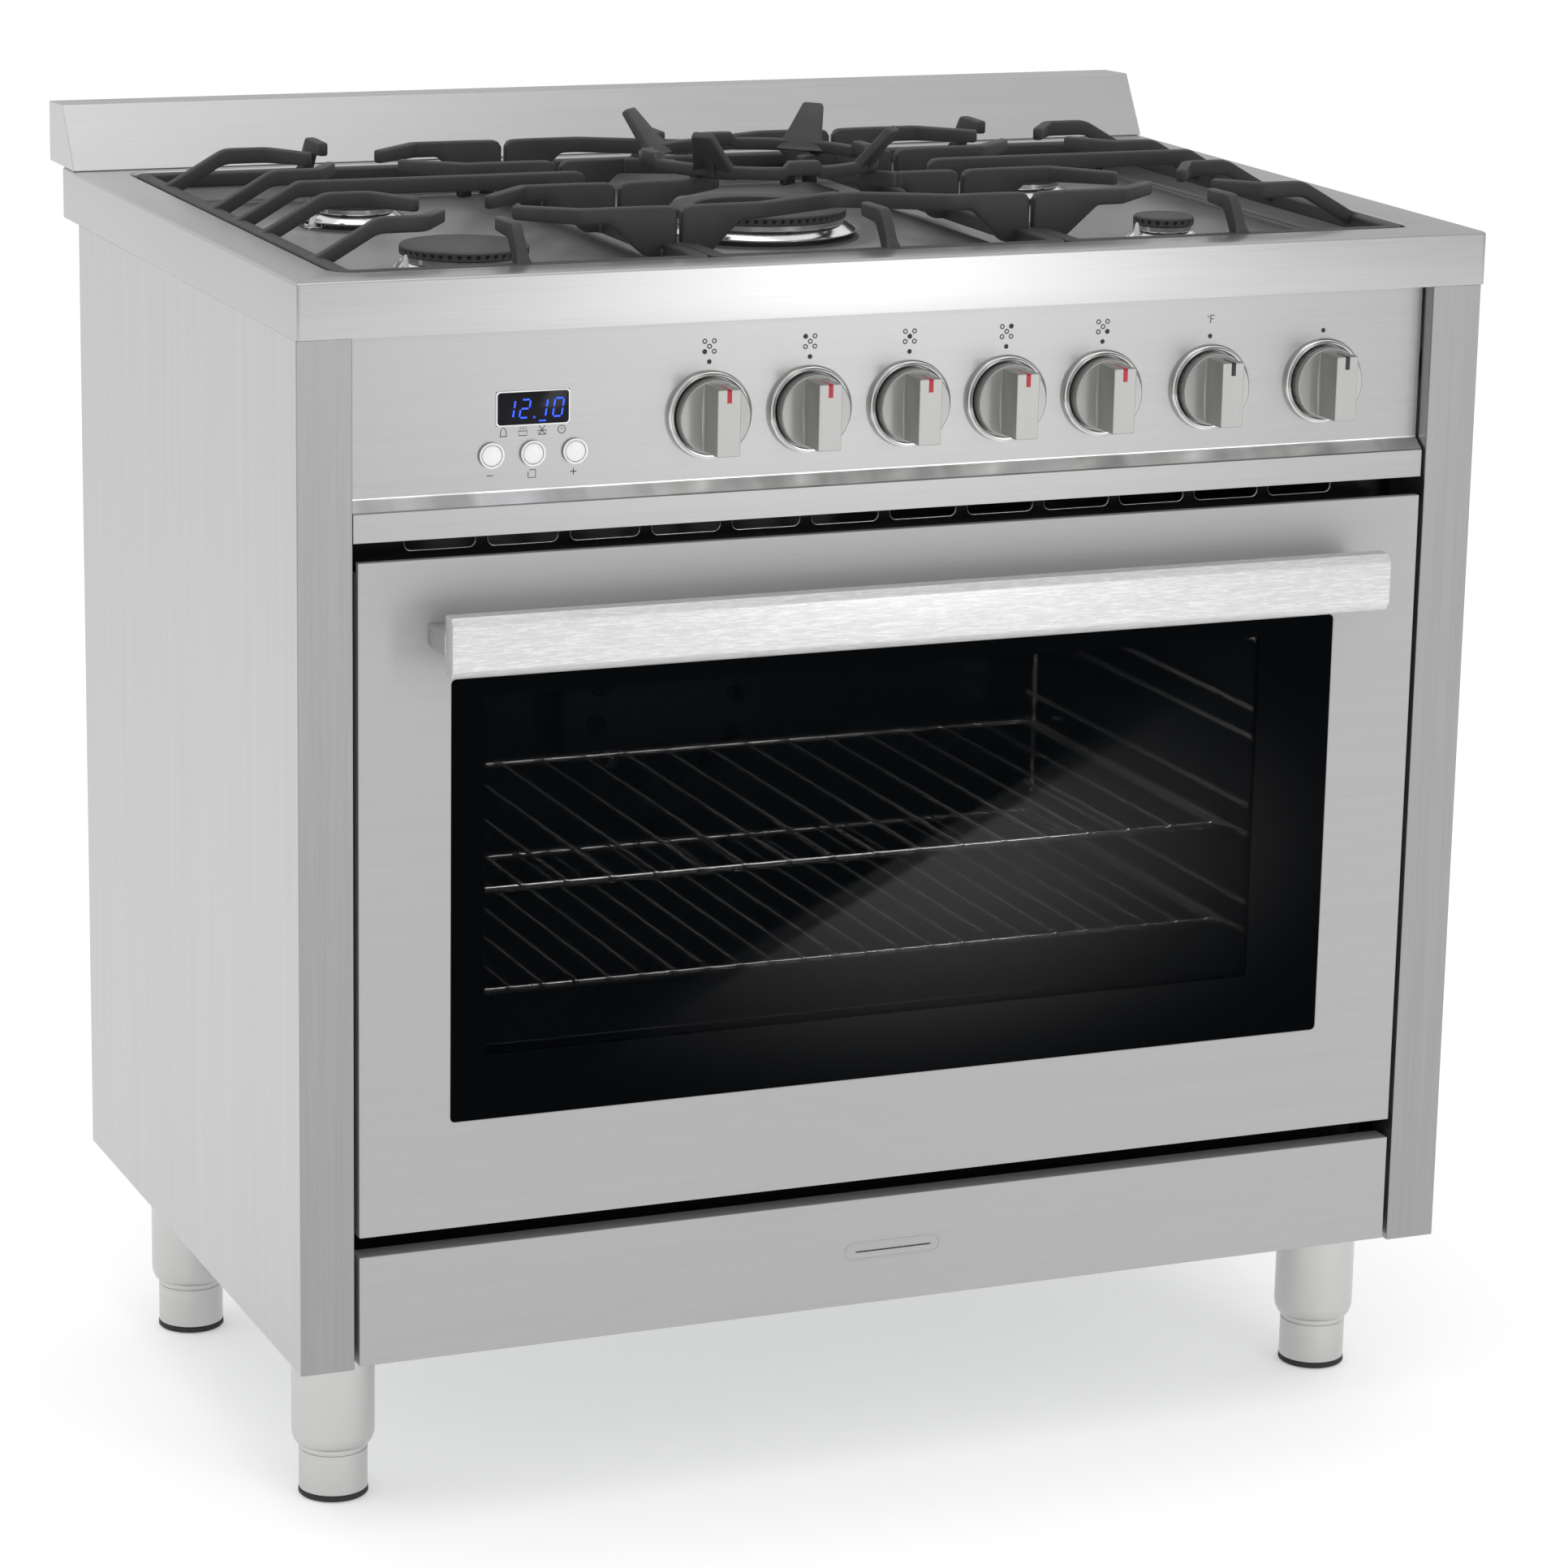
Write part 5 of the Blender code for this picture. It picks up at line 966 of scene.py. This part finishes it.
door_pane, place = begin("door_glass")
x_at, _, z_at = place.xyz()
window = (abs(x_at + 0.0175).step(0.299, 0.296) * (z_at > RIM * MM - 0.547) * (z_at < RIM * MM - 0.290))
veil = place.noise((3, 3, 3), 2.0)
# Painted reflection: a slanting band of clear coat, fading away from the middle, stands in for a bright edge
# mirrored in the glass.
slope = (z_at - 0.3396) - (x_at + 0.2528) * 0.497      # metres above the sheen's slanting edge
sheen = slope.step(0.001, -0.004) * 0.30 + slope.step(-0.013, -0.020) * 0.70
away = ((x_at - 0.03) * (x_at - 0.03) * 9 + (z_at - 0.445) * (z_at - 0.445) * 38) ** 0.5
sheen = sheen * away.step(1.25, 0.0) ** 1.8
surface(place, Base_Color=(0.7 + veil * 0.6).tint((0.0012, 0.0016, 0.0022)), Roughness=0.05 + veil * 0.03,
        Specular_IOR_Level=0.012, Alpha=1 - window * (0.50 + veil * 0.06), Coat_Weight=sheen * 1.15,
        Coat_Roughness=0.06)
inner_pane, place = begin("inner_glass")
film = place.noise((5, 5, 5), 2.0)
surface(place, Base_Color=(0.8 + film * 0.4).tint((0.010, 0.013, 0.016)), Roughness=0.05 + film * 0.04,
        Specular_IOR_Level=0.03, Alpha=0.26 + film * 0.08)
dress("door_glass", door_pane)
dress("inner_glass", inner_pane)


# ---- Handle ------------------------------------------------------------------------------------------
# An extruded bar with chamfered front corners, coarsely brushed along its length, on two square posts
# screwed through the door skin.

def shut(points, cut, steps=4):
    """A closed outline with each corner rounded by a parabola, as eased does for an open path."""
    p = np.array(points, float)
    return eased(np.concatenate([p[-1:], p, p[:1]]), cut, steps)[1:-1]


handle_steel, place = begin("handle_steel")
scratch = place.noise((95, 1250, 1250), 3.0, 0.65)
broad = place.noise((16, 260, 260))
glint = scratch.step(0.42, 0.66)
surface(place, scratch, 0.00004, 0.25, Metallic=0.65, Roughness=0.32 + scratch * 0.14,
        Base_Color=(0.84 + glint * 0.20 + (broad - 0.5) * 0.14).tint((0.74, 0.74, 0.74)))
low, high = (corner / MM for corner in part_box("handle_bar"))
d0, d1, z0, z1 = low.y - HOB_FRONT / MM, high.y - HOB_FRONT / MM, low.z, high.z
outline = shut([(d0, z0 + 5.5), (d0, z1 - 5.5), (d0 + 4.5, z1), (d1, z1), (d1, z0), (d0 + 4.5, z0)], 0.8)
middle = np.array([(d0 + d1) / 2, (z0 + z1) / 2])
stops = np.array([(low.x, 0.93), (low.x + 0.3, 0.975), (low.x + 0.9, 1), (high.x - 0.9, 1),
                  (high.x - 0.3, 0.975), (high.x, 0.93)])      # along the bar, and its section's scale there
ring = middle + (outline - middle)[None] * stops[:, 1, None, None]
bar_rings = np.concatenate([np.broadcast_to(stops[:, 0, None, None], ring.shape[:2] + (1,)), ring], -1)
piece("handle_bar_metal", [skin(bar_rings)], "door", handle_steel, ["handle_bar"], 24)
post_steel = brushed("post_steel", (0.60, 0.60, 0.60), 1, 0.28, 0.12)
for label in ("left", "right"):
    low, high = (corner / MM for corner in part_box(f"handle_post_{label}"))
    a, b = (low.x, low.y - HOB_FRONT / MM, low.z), (high.x, high.y - HOB_FRONT / MM, high.z)
    piece(f"handle_post_{label}_metal", [slab(a, b, 1.2, 1)], "door", post_steel,
          [f"handle_post_{label}"])


# ---- Drawer ------------------------------------------------------------------------------------------
# A storage drawer under the oven: a folded stainless front with a small embossed oval, spot-welded to a
# galvanised tray that runs on two steel slides.

softened("drawer_front", front_steel, 0.7)
softened("drawer_tray", galvanised, 0.4)
low, high = (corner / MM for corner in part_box("drawer_front"))
face, mid_z = low.y - HOB_FRONT / MM, (low.z + high.z) / 2
emblem = [upright(hoop((-38, 38, mid_z - 7, mid_z + 7), 6.9, 1.7, face - 0.45, face + 0.4, 0.4)),
          upright(hoop((-30, 30, mid_z - 0.6, mid_z + 0.6), 0.6, 1.2, face - 0.35, face + 0.4, 0.3))]
piece("drawer_emblem", emblem, "drawer", front_steel)
slides = brushed("slide_zinc", (0.55, 0.56, 0.58), 1, 0.34, 0.12)
for side, label in ((-1, "left"), (1, "right")):
    inner, outer = sorted((side * 385.2, side * 391.5)), sorted((side * 392.3, side * 402.0))
    piece(f"drawer_slide_{label}", [slab((inner[0], 40, 158), (inner[1], 468, 168), 1.0, 1)], "drawer", slides)
    piece(f"casing_slide_{label}", [slab((outer[0], 60, 154), (outer[1], 540, 172), 1.2, 1)], "casing", slides)


# ---- Studio ------------------------------------------------------------------------------------------
# A plain pale floor under a white surround with grey flags for bright metal to mirror. Soft lights stand low
# in front on the right, above and on the left, a lamp glows in the oven, and the camera looks from the left.

floor_paint, place = begin("studio_floor")
cloud = place.noise((1.2, 1.2, 1.2), 2.0)
surface(place, cloud, 0.0001, 0.05, Base_Color=(0.97 + cloud * 0.04).tint((0.86, 0.86, 0.86)), Roughness=0.75,
        Emission_Color=(1, 1, 1, 1), Emission_Strength=0.34)
FLOOR_HALF, GAP = 40.0, 0.0004                # half its width, and its gap under the feet, in metres
across = np.linspace(-FLOOR_HALF, FLOOR_HALF, 3)
level = np.full((3, 3), cad_bounds[0].z - GAP)
points, faces = skin(np.stack([*np.meshgrid(across, across), level], -1), closed=False)
ground = bpy.data.objects.new("studio_floor", bpy.data.meshes.new("studio_floor"))
ground.data.from_pydata(points, [], faces)
ground.data.materials.append(floor_paint)
bpy.context.scene.collection.objects.link(ground)

world = bpy.data.worlds.new("studio")
bpy.context.scene.world = world
world.use_nodes = True
world.node_tree.nodes.clear()
sky = Signal(world.node_tree)
x_to, y_to, z_to = sky.node("TexCoord").xyz()
# Grey flags round the set, each at a bearing in radians, so wide and so dark.
FLAGS = ((-2.55, 0.30, 0.40), (-0.35, 0.22, 0.36), (1.2, 0.35, 0.25), (2.6, 0.2, 0.3), (-0.72, 0.30, 0.22))
bearing = sky.maths("ARCTAN2", y_to, x_to)
shade = (z_to + 0.25).step(0.0, 1.1) * 0.10 + 0.84
shade = shade - sum(abs(bearing - at).step(width, width * 0.5) * dark for at, width, dark in FLAGS)
seen = sky.node("LightPath", out=0)
glow = sky.node("Background", (), {"Color": shade.tint((1.0, 1.0, 1.0)), "Strength": 1.0})
white = sky.node("Background", (), {"Color": (1, 1, 1, 1), "Strength": 1.06})
sky.node("OutputWorld", (), {"Surface": sky.node("MixShader", (), {0: seen, 1: glow, 2: white})})


def soft_light(name, place, towards, size, power):
    """A rectangular softbox at place, facing towards."""
    lamp = bpy.data.lights.new(name, "AREA")
    lamp.shape, lamp.size, lamp.size_y, lamp.energy = "RECTANGLE", size[0], size[1], power
    stand = bpy.data.objects.new(name, lamp)
    stand.location = place
    stand.rotation_euler = (Vector(towards) - Vector(place)).to_track_quat("-Z", "Y").to_euler()
    bpy.context.scene.collection.objects.link(stand)


bulb = bpy.data.lights.new("oven_bulb", "AREA")
bulb.shape, bulb.size, bulb.size_y, bulb.energy = "RECTANGLE", 0.56, 0.08, 1.6
bulb = bpy.data.objects.new("oven_bulb", bulb)
bulb.location = (0.0, -0.19, 0.652)
bpy.context.scene.collection.objects.link(bulb)
soft_light("front_softbox", (1.36, -3.60, 1.15), (0.0, -0.30, 0.60), (0.50, 2.0), 13)
soft_light("overhead_softbox", (-0.4, -0.3, 3.4), (0.0, 0.0, 0.9), (2.4, 2.0), 14)
soft_light("left_softbox", (-3.2, 0.6, 1.5), (-0.45, 0.0, 0.6), (1.2, 2.0), 6)

lens = bpy.data.cameras.new("camera")
lens.lens, lens.sensor_width, lens.clip_end = 118.27, 36.0, 200
camera = bpy.data.objects.new("camera", lens)
bpy.context.scene.collection.objects.link(camera)
azimuth, elevation, roll = np.radians((-22.732, 14.3565, 1.0894))
backward = Vector((np.sin(azimuth) * np.cos(elevation), -np.cos(azimuth) * np.cos(elevation),
                   np.sin(elevation)))
right = (-backward).cross(Vector((0, 0, 1))).normalized()
upward = right.cross(-backward)
axes = (np.cos(roll) * right + np.sin(roll) * upward, np.cos(roll) * upward - np.sin(roll) * right, backward)
camera.matrix_world = (Matrix.Translation((-1.44944, -3.52825, 1.42141))
                       @ Matrix(axes).transposed().to_4x4())
bpy.context.scene.camera = camera
bpy.context.scene.view_settings.view_transform = "Standard"
